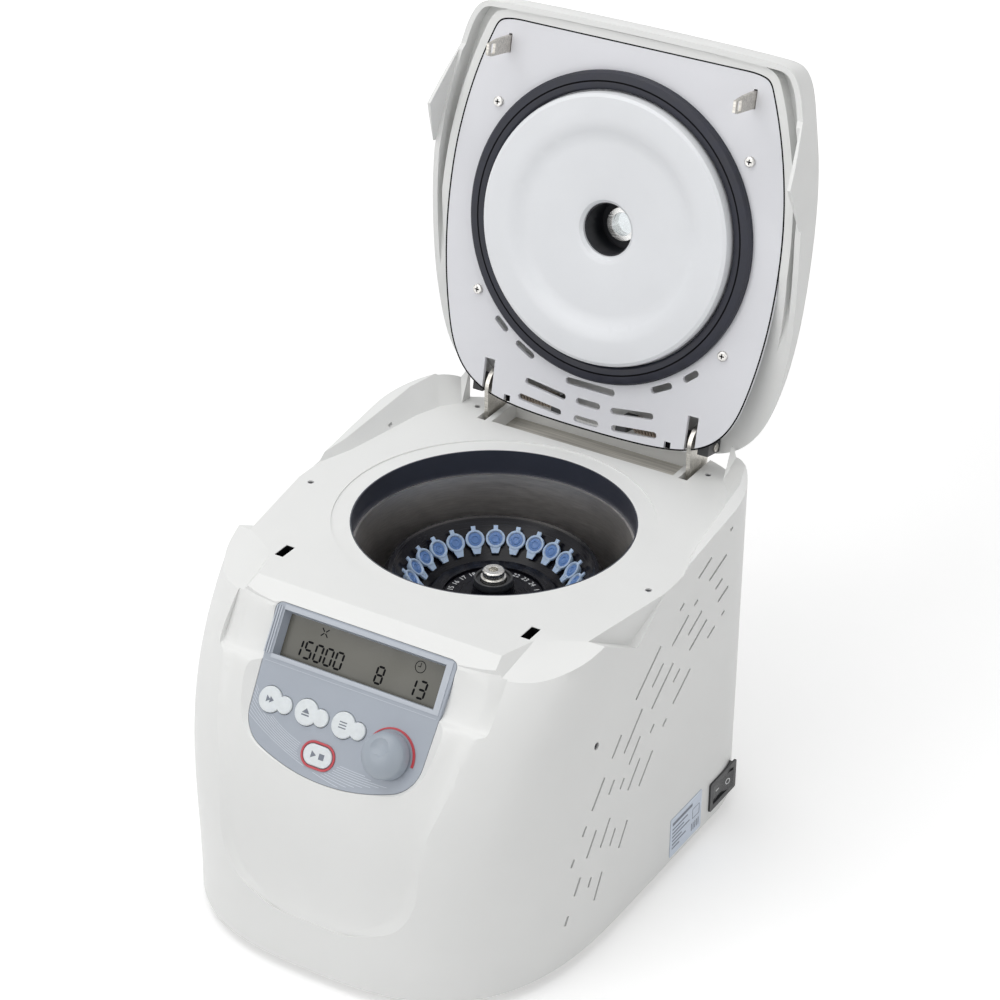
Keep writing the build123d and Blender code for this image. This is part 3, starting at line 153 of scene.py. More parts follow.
def moulded(name, tone, gloss, grain=1400.0, depth=0.00002, swing=0.03, highlight_lift=0.0, coat=0.0, shine=0.5):
    """Moulded plastic or paint: slight cloudiness, fine spark-eroded grain and uneven gloss."""
    material, tree, shader, coords = new_finish(name)
    cloudy = noise(tree, coords, 16.0, 4.0)
    low, high = either_side(tone, swing)
    colour = shades(tree, cloudy, low, high)
    # Painted highlight: the colour is lightened on sharp outward edges of the collar, black plastics and
    # rocker
    if highlight_lift:
        colour = worn_edges(tree, colour, tuple(min(1.0, c + highlight_lift) for c in tone))
    tree.links.new(colour, shader.inputs["Base Color"])
    fine = noise(tree, coords, grain, 2.0)
    uneven = spread(tree, noise(tree, coords, 60.0, 5.0), gloss - 0.05, gloss + 0.05)
    tree.links.new(uneven, shader.inputs["Roughness"])
    relief(tree, shader, fine, depth)
    shader.inputs["Specular IOR Level"].default_value = shine
    shader.inputs["Coat Weight"].default_value = coat
    shader.inputs["Coat Roughness"].default_value = 0.15
    return material


def brushed(name, tone, gloss, stretch, depth=0.00001, swing=0.18):
    """Metal with straight brushing; the stretch says along which axis it runs."""
    material, tree, shader, coords = new_finish(name)
    streaks = noise(tree, coords, 900.0, 4.0, stretch)
    low, high = either_side(tone, swing)
    tree.links.new(shades(tree, streaks, low, high), shader.inputs["Base Color"])
    tree.links.new(spread(tree, streaks, gloss - 0.08, gloss + 0.1), shader.inputs["Roughness"])
    relief(tree, shader, streaks, depth)
    shader.inputs["Metallic"].default_value = 1.0
    return material


def turned(name, tone, gloss, depth=0.00001, swing=0.2, metal=1.0, centre=(0, 0, 0), rings=900.0, tilt=0.0,
           shine=0.5):
    """Surface turned or brushed round the vertical axis through a centre: fine streaks along circles."""
    material, tree, shader, coords = new_finish(name)
    mapping = tree.nodes.new("ShaderNodeMapping")
    mapping.vector_type = "TEXTURE"
    mapping.inputs["Location"].default_value = centre
    mapping.inputs["Rotation"].default_value = (tilt, 0, 0)
    tree.links.new(coords, mapping.inputs["Vector"])
    split = tree.nodes.new("ShaderNodeSeparateXYZ")
    tree.links.new(mapping.outputs["Vector"], split.inputs["Vector"])
    turn = tree.nodes.new("ShaderNodeMath")
    turn.operation = "ARCTAN2"
    tree.links.new(split.outputs["Y"], turn.inputs[0])
    tree.links.new(split.outputs["X"], turn.inputs[1])
    across = tree.nodes.new("ShaderNodeVectorMath")
    across.operation = "LENGTH"
    flat = tree.nodes.new("ShaderNodeCombineXYZ")
    tree.links.new(split.outputs["X"], flat.inputs["X"])
    tree.links.new(split.outputs["Y"], flat.inputs["Y"])
    tree.links.new(flat.outputs["Vector"], across.inputs[0])
    slow = tree.nodes.new("ShaderNodeMath")
    slow.operation = "MULTIPLY"
    slow.inputs[1].default_value = 0.004
    tree.links.new(turn.outputs["Value"], slow.inputs[0])
    around = tree.nodes.new("ShaderNodeCombineXYZ")
    tree.links.new(across.outputs["Value"], around.inputs["X"])
    tree.links.new(slow.outputs["Value"], around.inputs["Y"])
    tree.links.new(split.outputs["Z"], around.inputs["Z"])
    streaks = noise(tree, around.outputs["Vector"], rings, 4.0)
    low, high = either_side(tone, swing)
    tree.links.new(shades(tree, streaks, low, high), shader.inputs["Base Color"])
    tree.links.new(spread(tree, streaks, gloss - 0.06, gloss + 0.08), shader.inputs["Roughness"])
    relief(tree, shader, streaks, depth)
    shader.inputs["Metallic"].default_value = metal
    shader.inputs["Specular IOR Level"].default_value = shine
    return material


def rubbery(name, tone, gloss=0.6, sheen=0.1):
    """Rubber with a soft bloom and a dull, fine surface."""
    material, tree, shader, coords = new_finish(name)
    bloom = noise(tree, coords, 90.0, 6.0)
    bloomed = tuple(c * 1.5 + 0.006 for c in tone)
    tree.links.new(shades(tree, bloom, tone, bloomed), shader.inputs["Base Color"])
    tree.links.new(spread(tree, bloom, gloss - 0.06, gloss + 0.1), shader.inputs["Roughness"])
    relief(tree, shader, noise(tree, coords, 2600.0, 2.0), 0.00002)
    shader.inputs["Sheen Weight"].default_value = sheen
    return material


def milky(name, tone, gloss, clear, depth=0.00001, glow=0.0):
    """Translucent moulded plastic with flow marks."""
    material, tree, shader, coords = new_finish(name)
    flow = noise(tree, coords, 240.0, 3.0)
    low = tuple(c * 0.93 for c in tone)
    tree.links.new(shades(tree, flow, low, tone), shader.inputs["Base Color"])
    tree.links.new(spread(tree, flow, gloss - 0.05, gloss + 0.06), shader.inputs["Roughness"])
    relief(tree, shader, flow, depth)
    shader.inputs["Transmission Weight"].default_value = clear
    shader.inputs["IOR"].default_value = 1.45
    shader.inputs["Subsurface Weight"].default_value = glow
    shader.inputs["Subsurface Radius"].default_value = (0.002, 0.002, 0.0025)
    return material


finishes = {
    "white_plastic": moulded("shell_white", (0.785, 0.79, 0.78), 0.42, swing=0.01, coat=0.08),
    "lid_white": moulded("lid_white", (0.785, 0.79, 0.78), 0.42, swing=0.01, coat=0.08),
    "plate_white": moulded("plate_grey_white", (0.76, 0.765, 0.80), 0.36, 900.0, 0.00001, 0.015),
    "dish_white": moulded("dish_white", (0.80, 0.815, 0.84), 0.38, 1200.0, 0.00001, 0.015, coat=0.1),
    "seal_rubber": rubbery("seal_navy", (0.004, 0.005, 0.013), 0.5, 0.0),
    "collar_navy": moulded("collar_navy", (0.020, 0.024, 0.040), 0.4, highlight_lift=0.015),
    "bowl_steel": turned("bowl_steel", (0.84, 0.81, 0.78), 0.38, 0.0000006, 0.08, rings=2600.0),
    "plain_steel": brushed("bracket_steel", (0.58, 0.56, 0.52), 0.36, (0.02, 1, 1), 0.000004),
    "zinc_steel": brushed("zinc_steel", (0.60, 0.60, 0.58), 0.4, (1, 0.05, 1)),
    "dark_screw": brushed("dark_screw", (0.18, 0.18, 0.19), 0.4, (1, 1, 0.2)),
    "foot_rubber": rubbery("foot_rubber", (0.02, 0.02, 0.021)),
    "damper_rubber": rubbery("damper_rubber", (0.025, 0.025, 0.026)),
    "panel_grey": moulded("panel_blue_grey", (0.35, 0.385, 0.44), 0.4, 700.0, 0.000012, 0.02),
    "display_lcd": moulded("display_olive", (0.086, 0.083, 0.066), 0.35, 500.0, 0.000002, 0.05, coat=0.1),
    "board_green": moulded("board_green", (0.03, 0.12, 0.06), 0.35, 600.0),
    "black_plastic": moulded("black_plastic", (0.02, 0.021, 0.023), 0.42, highlight_lift=0.03),
    "button_white": milky("button_milky", (0.76, 0.80, 0.82), 0.34, 0.05, 0.000001, glow=0.15),
    "red_trim": moulded("trim_red", (0.46, 0.035, 0.05), 0.35, swing=0.08),
    "knob_grey": moulded("knob_blue_grey", (0.33, 0.37, 0.42), 0.42, 900.0, 0.000005, 0.02, coat=0.1),
    "label_foil": brushed("label_foil", (0.52, 0.57, 0.65), 0.4, (1, 0.04, 1), swing=0.06),
    "rocker_black": moulded("rocker_black", (0.016, 0.017, 0.019), 0.28, highlight_lift=0.03),
    "rotor_black": turned("rotor_black", (0.006, 0.006, 0.009), 0.22, 0.000003, 0.3, metal=0.0, shine=0.22),
    "disc_black": turned("disc_black", (0.005, 0.005, 0.008), 0.3, 0.000003, 0.3, metal=0.0, shine=0.2),
    "nut_silver": turned("nut_silver", (0.66, 0.65, 0.62), 0.22),
    "tube_blue": milky("tube_blue", (0.45, 0.60, 0.82), 0.3, 0.3, glow=0.2),
    "cap_blue": milky("cap_blue", (0.52, 0.66, 0.86), 0.3, 0.25, 0.000002, glow=0.25),
    "motor_black": moulded("motor_black", (0.03, 0.03, 0.032), 0.5),
    "copper_core": brushed("copper_core", (0.55, 0.28, 0.15), 0.35, (1, 1, 0.05)),
    "sight_black": moulded("sight_black", (0.012, 0.013, 0.018), 0.45),
    "ring_alu": turned("ring_alu", (0.70, 0.70, 0.69), 0.22, centre=tuple(hinge_point),
                       tilt=radians(lid_angle)),
    "window_clear": milky("window_clear", (0.85, 0.9, 0.92), 0.08, 0.9),
    "spring_steel": brushed("spring_steel", (0.45, 0.38, 0.33), 0.35, (1, 1, 1)),
}

for node, thing in frame["nodes"].items():
    thing.data.materials.clear()
    thing.data.materials.append(finishes[slot_of[node]])


# Making and placing pieces

def in_scene(name, bm, finish, sharp):
    """Object out of a bmesh, shaded smooth where its faces meet under an angle in degrees."""
    for face in bm.faces:
        face.smooth = True
    for edge in bm.edges:
        edge.smooth = edge.calc_face_angle(0.0) < radians(sharp)
    mesh = bpy.data.meshes.new(name)
    bm.to_mesh(mesh)
    bm.free()
    thing = bpy.data.objects.new(name, mesh)
    bpy.context.scene.collection.objects.link(thing)
    mesh.materials.append(finish)
    return thing


def piece(name, bm, finish, body, place=None):
    """Piece from a bmesh, put in place and tied to its body."""
    if place is not None:
        bmesh.ops.transform(bm, matrix=place, verts=bm.verts)
    bmesh.ops.recalc_face_normals(bm, faces=bm.faces)
    thing = in_scene(name, bm, finish, 35)
    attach(thing, body)
    return thing


def soften(thing, width, angle):
    """Small rounding of the edges sharper than an angle in degrees."""
    bevel = thing.modifiers.new("rounding", "BEVEL")
    bevel.width = width * mm
    bevel.segments = 2
    bevel.limit_method = "ANGLE"
    bevel.angle_limit = radians(angle)
    bevel.harden_normals = True


def dressed(node, sharp, rounding=0.0):
    """Merged, smoothly shaded copy of a CAD node that stands in its place."""
    bm = bmesh.new()
    bm.from_mesh(frame["nodes"][node].data)
    bmesh.ops.remove_doubles(bm, verts=bm.verts, dist=0.003 * mm)
    bmesh.ops.dissolve_limit(bm, angle_limit=radians(0.4), verts=bm.verts, edges=bm.edges)
    thing = in_scene(node + "_skin", bm, finishes[slot_of[node]], sharp)
    if rounding:
        soften(thing, rounding, sharp)
    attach(thing, body_of[node])
    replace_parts(thing, node)
    return thing


def joined(parts):
    """One bmesh out of several."""
    whole = bmesh.new()
    for part in parts:
        mesh = bpy.data.meshes.new("part")
        part.to_mesh(mesh)
        part.free()
        whole.from_mesh(mesh)
        bpy.data.meshes.remove(mesh)
    return whole


def slab(points, low, high):
    """Flat outline raised between two heights, sizes in millimetres."""
    bm = bmesh.new()
    corners = [bm.verts.new((x * mm, y * mm, low * mm)) for x, y in points]
    bottom = bm.faces.new(corners)
    raised = bmesh.ops.extrude_face_region(bm, geom=[bottom])
    top = [g for g in raised["geom"] if isinstance(g, bmesh.types.BMVert)]
    bmesh.ops.translate(bm, verts=top, vec=(0, 0, (high - low) * mm))
    bmesh.ops.recalc_face_normals(bm, faces=bm.faces)
    return bm


def disc(radius, low, high, segments=40, inner=0.0, centre=(0, 0)):
    """Round plate or ring between two heights, sizes in millimetres."""
    if inner:
        return lathe([(inner, low), (radius, low), (radius, high), (inner, high)], segments, centre)
    return lathe([(0, low), (radius, low), (radius, high), (0, high)], segments, centre)


def lathe(outline, segments=48, centre=(0, 0)):
    """Turned shape: an outline of radius and height spun once round the vertical axis."""
    bm = bmesh.new()
    verts = [bm.verts.new((r * mm, 0, z * mm)) for r, z in outline]
    edges = [bm.edges.new((a, b)) for a, b in zip(verts, verts[1:])]
    if outline[0][0] > 0:
        edges.append(bm.edges.new((verts[-1], verts[0])))
    bmesh.ops.spin(bm, geom=verts + edges, cent=(0, 0, 0), axis=(0, 0, 1), angle=2 * pi, steps=segments,
                   use_merge=True)
    bmesh.ops.remove_doubles(bm, verts=bm.verts, dist=0.002 * mm)
    bmesh.ops.recalc_face_normals(bm, faces=bm.faces)
    bmesh.ops.translate(bm, verts=bm.verts, vec=(centre[0] * mm, centre[1] * mm, 0))
    return bm


def bar(start, end, width, low, high):
    """Straight bar between two points of a plane, sizes in millimetres."""
    a = Vector(start)
    b = Vector(end)
    along = (b - a).normalized()
    aside = Vector((-along.y, along.x)) * width / 2
    return slab([a + aside, a - aside, b - aside, b + aside], low, high)


def segment(start, end, width, low, high):
    """Bar with pointed ends, as the segments of a display have."""
    a = Vector(start)
    b = Vector(end)
    along = (b - a).normalized() * width / 2
    aside = Vector((-along.y, along.x))
    return slab([a, a + along - aside, b - along - aside, b, b - along + aside, a + along + aside], low, high)


def meshed(curve):
    """Bmesh of a curve or a text, which is then removed."""
    carrier = bpy.data.objects.new(curve.name, curve)
    bpy.context.scene.collection.objects.link(carrier)
    bpy.context.view_layer.update()
    mesh = bpy.data.meshes.new_from_object(carrier)
    bm = bmesh.new()
    bm.from_mesh(mesh)
    bpy.data.objects.remove(carrier)
    bpy.data.curves.remove(curve)
    bpy.data.meshes.remove(mesh)
    return bm


def lettering(text, size, place, thickness):
    """Number as a thin raised mesh, centred at its place."""
    curve = bpy.data.curves.new("number", "FONT")
    curve.body = text
    curve.size = size * mm
    curve.align_x = "CENTER"
    curve.align_y = "CENTER"
    curve.extrude = thickness * mm
    curve.resolution_u = 2
    return moved(meshed(curve), place)


def line_mesh(points, width, flatten):
    """Fine raised line along a smooth curve in the plane, sizes in millimetres."""
    curve = bpy.data.curves.new("line", "CURVE")
    curve.dimensions = "3D"
    curve.bevel_depth = width / 2 * mm
    curve.bevel_resolution = 1
    curve.resolution_u = 10
    run = curve.splines.new("NURBS")
    run.points.add(len(points) - 1)
    for spot, (x, y) in zip(run.points, points):
        spot.co = (x * mm, y * mm, 0, 1)
    run.order_u = 3
    run.use_endpoint_u = True
    curve.use_fill_caps = True
    bm = meshed(curve)
    bmesh.ops.scale(bm, vec=(1, 1, flatten), verts=bm.verts)
    return bm


# Shells and other pieces that keep their CAD shape

# Each row: a node, the angle in degrees up to which it is shaded smooth, and its rounding in millimetres
for node, sharp, rounding in (
    ("housing_shell", 26, 0.5), ("lid_shell", 26, 0.5), ("lid_plate", 26, 0.25),
    ("lid_dish", 20, 0), ("lid_seal", 20, 0), ("chamber_collar", 20, 0), ("chamber_bowl", 20, 0),
    ("rotor_body", 24, 0), ("rotor_collar", 24, 0.2), ("lock_nut", 24, 0.25),
    ("number_disc", 24, 0), ("control_panel", 26, 0.35), ("display_glass", 26, 0), ("knob", 24, 0),
    ("button_left", 26, 0), ("button_middle", 26, 0), ("button_right", 26, 0),
    ("start_button", 26, 0), ("start_ring", 26, 0.2), ("knob_arc", 26, 0.15),
    ("hinge_bracket", 26, 0.3), ("latch_hooks", 26, 0.3), ("hinge_pins", 26, 0.3),
    ("hinge_blocks", 26, 0.4), ("deck_screws", 26, 0.1), ("side_screws", 26, 0.1),
    ("sight_tube", 24, 0), ("sight_ring", 24, 0.15), ("sight_window", 24, 0.2),
    ("switch_frame", 26, 0.3), ("power_rocker", 26, 0.5), ("power_inlet", 26, 0.3),
    ("label_plate", 26, 0.1), ("feet", 24, 0.6), ("base_plate", 26, 0.3), ("tubes", 24, 0),
):
    dressed(node, sharp, rounding)


# Fine pieces that the solids leave out

ink_black = moulded("ink_black", (0.004, 0.004, 0.005), 0.6, depth=0.000002, shine=0.05)
ink_white = moulded("ink_white", (0.72, 0.73, 0.74), 0.45, depth=0.000002)
ink_grey = moulded("ink_grey", (0.16, 0.18, 0.22), 0.45, depth=0.000002)
bezel_grey = moulded("bezel_grey", (0.46, 0.495, 0.55), 0.36, 700.0, 0.00001, 0.02)
stripe_pale = moulded("stripe_pale", (0.56, 0.60, 0.66), 0.4, depth=0.000002)
cap_deep = milky("cap_deep", (0.13, 0.26, 0.56), 0.25, 0.2, glow=0.2)
# Black that paints shade into the screw crosses, the gap round the lid plate, the seal groove and the slots
painted_shade_black = moulded("painted_shade_black", (0.004, 0.004, 0.005), 0.8, depth=0.000004, shine=0.05)
screw_bright = brushed("screw_bright", (0.66, 0.65, 0.63), 0.28, (1, 1, 0.2), 0.000004)


def frame_band(outer, inner, low, high):
    """Flat frame between two outlines of the same count of points, sizes in millimetres."""
    bm = bmesh.new()
    loops = [[bm.verts.new((x * mm, y * mm, low * mm)) for x, y in points] for points in (outer, inner)]
    edges = [bm.edges.new((a, b)) for loop in loops for a, b in zip(loop, loop[1:] + loop[:1])]
    bmesh.ops.bridge_loops(bm, edges=edges)
    raised = bmesh.ops.extrude_face_region(bm, geom=bm.faces[:])
    top = [g for g in raised["geom"] if isinstance(g, bmesh.types.BMVert)]
    bmesh.ops.translate(bm, verts=top, vec=(0, 0, (high - low) * mm))
    return bm


def rectangle(left, right, bottom, top):
    """Corners of a rectangle."""
    return [(left, bottom), (right, bottom), (right, top), (left, top)]


def moved(bm, place):
    """The same bmesh put at a place."""
    bmesh.ops.transform(bm, matrix=place, verts=bm.verts)
    return bm


def shift(x, y, z):
    """Move, sizes in millimetres."""
    return Matrix.Translation(Vector((x, y, z)) * mm)


# Middles of the keys and the knob on the panel, and the shift of a button's second lobe
key_places = {"left": (-51.6, -60.8), "middle": (-24.1, -60.8), "right": (3.6, -60.6), "start": (-7.5, -84.1)}
lobe_shift = (10.9, -0.6)
knob_place = (40, -69)


# Display: figures with seven segments, a clock ring and a cross
lcd_level = -7.12
segment_runs = {
    "a": ((0, 1), (1, 1)), "b": ((1, 1), (1, 0.5)), "c": ((1, 0.5), (1, 0)), "d": ((0, 0), (1, 0)),
    "e": ((0, 0), (0, 0.5)), "f": ((0, 0.5), (0, 1)), "g": ((0, 0.5), (1, 0.5)),
}
segments_lit = {"0": "abcdef", "1": "bc", "3": "abcdg", "5": "acdfg", "8": "abcdefg"}
figure_width = 4.9
figure_height = 10.6
figure_pitch = 7.7
figure_stroke = 1.4
figure_lean = 0.06
figure_base = -29.9
print_height = 0.06
clock_x, clock_y = 39.6, -11.2
cross_x, cross_y = -31.9, -10.6


def figure(number, left, bottom):
    """Segments of one number of the display."""
    bars = []
    for name in segments_lit[number]:
        ends = [
            Vector((left + x * figure_width + y * figure_height * figure_lean, bottom + y * figure_height))
            for x, y in segment_runs[name]
        ]
        inward = (ends[1] - ends[0]).normalized() * 0.25
        bars.append(segment(ends[0] + inward, ends[1] - inward, figure_stroke, 0, print_height))
    return bars


figures = []
for shown_number, left in (("15000", -50.4), ("8", 11.0), ("13", 34.6)):
    for index, number in enumerate(shown_number):
        figures += figure(number, left + index * figure_pitch, figure_base)
figures.append(disc(3.9, 0, print_height, 40, 3.4, (clock_x, clock_y)))
figures.append(bar((clock_x, clock_y), (clock_x, clock_y + 2.6), 0.5, 0, print_height))
figures.append(bar((clock_x + 0.25, clock_y), (clock_x - 1.8, clock_y), 0.5, 0, print_height))
for turn in range(4):
    a = radians(45 + 90 * turn)
    ends = [(cross_x + reach * cos(a), cross_y + reach * sin(a)) for reach in (0.7, 3.6)]
    figures.append(bar(*ends, 0.75, 0, print_height))
piece("display_figures", joined(figures), ink_black, "housing",
      panel_place @ shift(0, 0, lcd_level))

# Lighter frame round the display, ribs at its left and the line below it
bezel = frame_band(rectangle(-60.6, 64.6, -35.6, -0.9), rectangle(-60.2, 60.2, -32.9, -4.0), 0.02, 0.42)
piece("display_bezel", bezel, bezel_grey, "housing", panel_place)
ribs = [slab(rectangle(x - 0.45, x + 0.45, -33.6, -2.4), 0.02, 0.6) for x in (-66.1, -64.3, -62.5)]
ribs.append(slab(rectangle(-64, 64, -38.3, -37.8), 0.02, 0.2))
piece("display_ribs", joined(ribs), bezel_grey, "housing", panel_place)


def covered(x, y):
    """Whether a point of the panel lies under a key, the knob or one of their rings."""
    start_x, start_y = key_places["start"]
    rounds = [(*knob_place, 19.0)]
    for name in ("left", "middle", "right"):
        key_x, key_y = key_places[name]
        rounds += [(key_x, key_y, 9.6), (key_x + lobe_shift[0], key_y + lobe_shift[1], 6.8)]
    under_start = ((x - start_x) / 14.5) ** 2 + ((y - start_y) / 10.6) ** 2 < 1
    return under_start or any((x - cx) ** 2 + (y - cy) ** 2 < reach ** 2 for cx, cy, reach in rounds)


def stripe(start, first, second, end):
    """Runs of a pale curve on the panel that leave out the buttons, the knob and their rings."""
    runs = [[]]
    for step in range(61):
        t = step / 60
        weights = ((1 - t) ** 3, 3 * t * (1 - t) ** 2, 3 * t * t * (1 - t), t ** 3)
        x, y = (sum(w * p[axis] for w, p in zip(weights, (start, first, second, end))) for axis in (0, 1))
        if covered(x, y):
            runs.append([])
        else:
            runs[-1].append((x, y))
    return [line_mesh(run, 0.42, 0.25) for run in runs if len(run) > 3]


stripe_count = 9
stripes = []
for line in range(stripe_count):
    stripes += stripe((-64.5, -55 - 2.3 * line), (-46 + line, -78 - 1.3 * line), (-10, -90 - 0.7 * line),
                      (56 - 5.5 * line, -84.5 - 1.7 * line))
piece("panel_stripes", joined(stripes), stripe_pale, "housing", panel_place @ shift(0, 0, 0.06))

# Generic marks on the keys: two arrows, an arrow over a bar, three bars, an arrow beside a square
key_top = 1.3
key_marks = {
    "left": ([(-2.6, -2.2), (-2.6, 2.2), (0.4, 0)], [(0.0, -2.2), (0.0, 2.2), (3.0, 0)]),
    "middle": ([(-2.8, -0.6), (2.8, -0.6), (0, 2.6)], rectangle(-2.8, 2.8, -2.3, -1.4)),
    "right": [rectangle(-2.7, 2.7, y - 0.35, y + 0.35) for y in (-1.8, 0, 1.8)],
    "start": ([(-4.6, -2.3), (-4.6, 2.3), (-0.9, 0)], rectangle(1.2, 5.0, -1.9, 1.9)),
}
key_bodies = {"left": "left_button", "middle": "middle_button", "right": "right_button", "start": "start_key"}
for name, outlines in key_marks.items():
    mark = joined([slab(outline, 0, 0.07) for outline in outlines])
    piece(name + "_key_mark", mark, ink_grey, key_bodies[name],
          panel_place @ shift(*key_places[name], key_top + 0.01))

# Bars and frame on the rating label: first axis to the rear, second up, third out of the right side
side_x = 140.5
label_face = 0.54
label_left = 2.5
side_place = Matrix(((0, 0, 1, side_x * mm), (1, 0, 0, 0), (0, 1, 0, 0), (0, 0, 0, 1)))
label_bars = [slab(rectangle(label_left, 30.5, 36.2, 38.6), 0, 0.05)]
for row, row_end in enumerate((24, 19, 27, 16, 22, 13)):
    label_bars.append(slab(rectangle(label_left, row_end, 32.6 - 3.1 * row, 33.7 - 3.1 * row), 0, 0.05))
for column in range(5):
    label_bars.append(slab(rectangle(30 + 2.4 * column, 31 + 2.4 * column, 15.5, 21.5), 0, 0.05))
label_bars.append(frame_band(rectangle(31, 41, 25, 33), rectangle(31.5, 40.5, 25.5, 32.5), 0, 0.05))
piece("label_bars", joined(label_bars), ink_grey, "housing",
      side_place @ shift(0, 0, label_face))

# Stroke and ring on the two faces of the rocker
rocker_z = 27
stroke = slab(rectangle(-2.2, 2.2, -0.45, 0.45), 0, 0.06)
piece("rocker_stroke", stroke, ink_white, "rocker",
      Matrix(((0, 0, 1, 140.62 * mm), (1, 0, 0, 68.2 * mm), (0, 1, 0, rocker_z * mm), (0, 0, 0, 1))))
lean = Vector((3.1, 12.5, 0)).normalized()
out = Vector((lean.y, -lean.x, 0))
piece("rocker_ring", disc(2.4, 0, 0.06, 32, 1.7), ink_white, "rocker", Matrix((
    (lean.x, 0, out.x, 142.0 * mm + out.x * 0.02 * mm),
    (lean.y, 0, out.y, 80.9 * mm + out.y * 0.02 * mm),
    (0, 1, 0, rocker_z * mm),
    (0, 0, 0, 1),
)))

# Place numbers on the rotor disc
tube_count = 24
number_radius = 29.6
number_z = deck_z - 59.16
numbers = []
for number in range(1, tube_count + 1):
    turn = Matrix.Rotation(radians(420 - 15 * number), 4, "Z")
    place = turn @ shift(number_radius, 0, number_z) @ Matrix.Rotation(-pi / 2, 4, "Z")
    numbers.append(lettering(str(number), 5.4, place, 0.03))
piece("place_numbers", joined(numbers), ink_white, "rotor")

# Caps in place of the plain ones: pale rims with tab and strap, and deeper blue middles
tube_tilt = radians(45)
tube_axis = Vector((-sin(tube_tilt), 0, cos(tube_tilt)))
tube_aside = Vector((0, 1, 0))
tube_inward = tube_axis.cross(tube_aside)
cap_place = Matrix((
    (tube_aside.x, tube_inward.x, tube_axis.x, 53.8 * mm),
    (tube_aside.y, tube_inward.y, tube_axis.y, 0),
    (tube_aside.z, tube_inward.z, tube_axis.z, (deck_z - 47) * mm),
    (0, 0, 0, 1),
))
cap_outline = [(0, -1.58), (6.3, -1.58), (6.6, -1.2), (6.6, 0.35), (6.35, 0.6), (5.3, 0.6), (4.9, 0.2),
               (4.7, -0.5), (0, -0.5)]
tab_outline = [(-3.6, 5.7), (3.6, 5.7), (2.2, 10.4), (-2.2, 10.4)]
strap_outline = rectangle(-1.5, 1.5, -9.3, -6.1)
middle_outline = [(0, -0.48), (4.6, -0.48), (4.6, -0.25), (3.3, -0.2), (2.9, 0.25), (2.3, 0.3), (1.9, -0.1),
                  (0, -0.2)]
rims = []
middles = []
for index in range(tube_count):
    place = Matrix.Rotation(2 * pi / tube_count * index, 4, "Z") @ cap_place
    rims.append(moved(lathe(cap_outline, 36), place))
    rims.append(moved(slab(tab_outline, -0.9, 0.25), place))
    rims.append(moved(slab(strap_outline, -0.9, 0.1), place))
    middles.append(moved(lathe(middle_outline, 32), place))
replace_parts(piece("cap_rims", joined(rims), finishes["cap_blue"], "rotor"), "tube_caps")
piece("cap_middles", joined(middles), cap_deep, "rotor")

# Coiled springs on the hinge pins in place of their sleeves
coil_turns = 12
coil_steps = 20 * coil_turns
coil_radius = 5.2
coil_start = 31.9
coil_length = 29.4
wire_radius = 0.85
coils = []
for side in (-1, 1):
    bm = bmesh.new()
    ring = bmesh.ops.create_circle(bm, cap_ends=False, segments=8, radius=wire_radius * mm)
    coil_place = shift(side * coil_start, hinge_y, hinge_z + coil_radius) @ Matrix.Rotation(pi / 2, 4, "X")
    bmesh.ops.transform(bm, verts=ring["verts"], matrix=coil_place)
    bmesh.ops.spin(bm, geom=bm.verts[:] + bm.edges[:], cent=hinge_point, axis=(1, 0, 0),
                   angle=2 * pi * coil_turns, steps=coil_steps,
                   dvec=(side * coil_length / coil_steps * mm, 0, 0))
    bmesh.ops.holes_fill(bm, edges=[e for e in bm.edges if e.is_boundary], sides=8)
    coils.append(bm)
springs = piece("hinge_springs", joined(coils), finishes["spring_steel"], "lid", lid_place)
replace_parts(springs, "lid_springs")

# Bright plate screws; painted shade as black crosses in them and as a black band in the joint round the plate
dressed("plate_screws", 26, 0.15).data.materials[0] = screw_bright
plate_screw_x = 95.3
plate_screw_rows = (-67.3, 65.3)
plate_screw_z = deck_z + 3.42
cross_outline = [(-1.7, -0.4), (-0.4, -0.4), (-0.4, -1.7), (0.4, -1.7), (0.4, -0.4), (1.7, -0.4),
                 (1.7, 0.4), (0.4, 0.4), (0.4, 1.7), (-0.4, 1.7), (-0.4, 0.4), (-1.7, 0.4)]
cross_shades = []
for y in plate_screw_rows:
    for side in (-1, 1):
        cross_shades.append(moved(slab(cross_outline, 0, 0.3), shift(side * plate_screw_x, y, plate_screw_z)))
piece("screw_cross_shade", joined(cross_shades), painted_shade_black, "lid", lid_place)

closed = lid_place.inverted()
plate_face = deck_z + 5
plate_middle = Vector((0, 8))
points = [closed @ vertex.co for vertex in frame["nodes"]["lid_plate"].data.vertices]
points = [(point.x / mm, point.y / mm) for point in points if abs(point.z / mm - plate_face) < 0.05]
plate_edge = [Vector(points[index]) for index in convex_hull_2d(points)]
joint_outer = [point + (point - plate_middle).normalized() * 0.28 for point in plate_edge]
joint_inner = [point - (point - plate_middle).normalized() * 0.8 for point in plate_edge]
# Painted shade: a black band at the edge of the plate, in the gap to the lid shell
piece("plate_joint_shade", frame_band(joint_outer, joint_inner, deck_z + 4.9, deck_z + 4.98), painted_shade_black, "lid",
      lid_place)

# Painted shade: a black ring in the groove of the seal, and black sheets behind the two short slots at the
# rear edge
seal_ring_shade = disc(100.3, deck_z - 0.83, deck_z - 0.78, 96, 99.2)
piece("seal_groove_shade", seal_ring_shade, painted_shade_black, "lid", lid_place)
short_slot_x = 62.9
short_slot_half = 2.9
short_slot_shades = []
for side in (-1, 1):
    middle = side * short_slot_x
    short_slot_shades.append(slab(rectangle(middle - short_slot_half, middle + short_slot_half, 133.5, 140.3),
                         deck_z + 8.4, deck_z + 8.8))
piece("short_slot_shade", joined(short_slot_shades), painted_shade_black, "lid", lid_place)

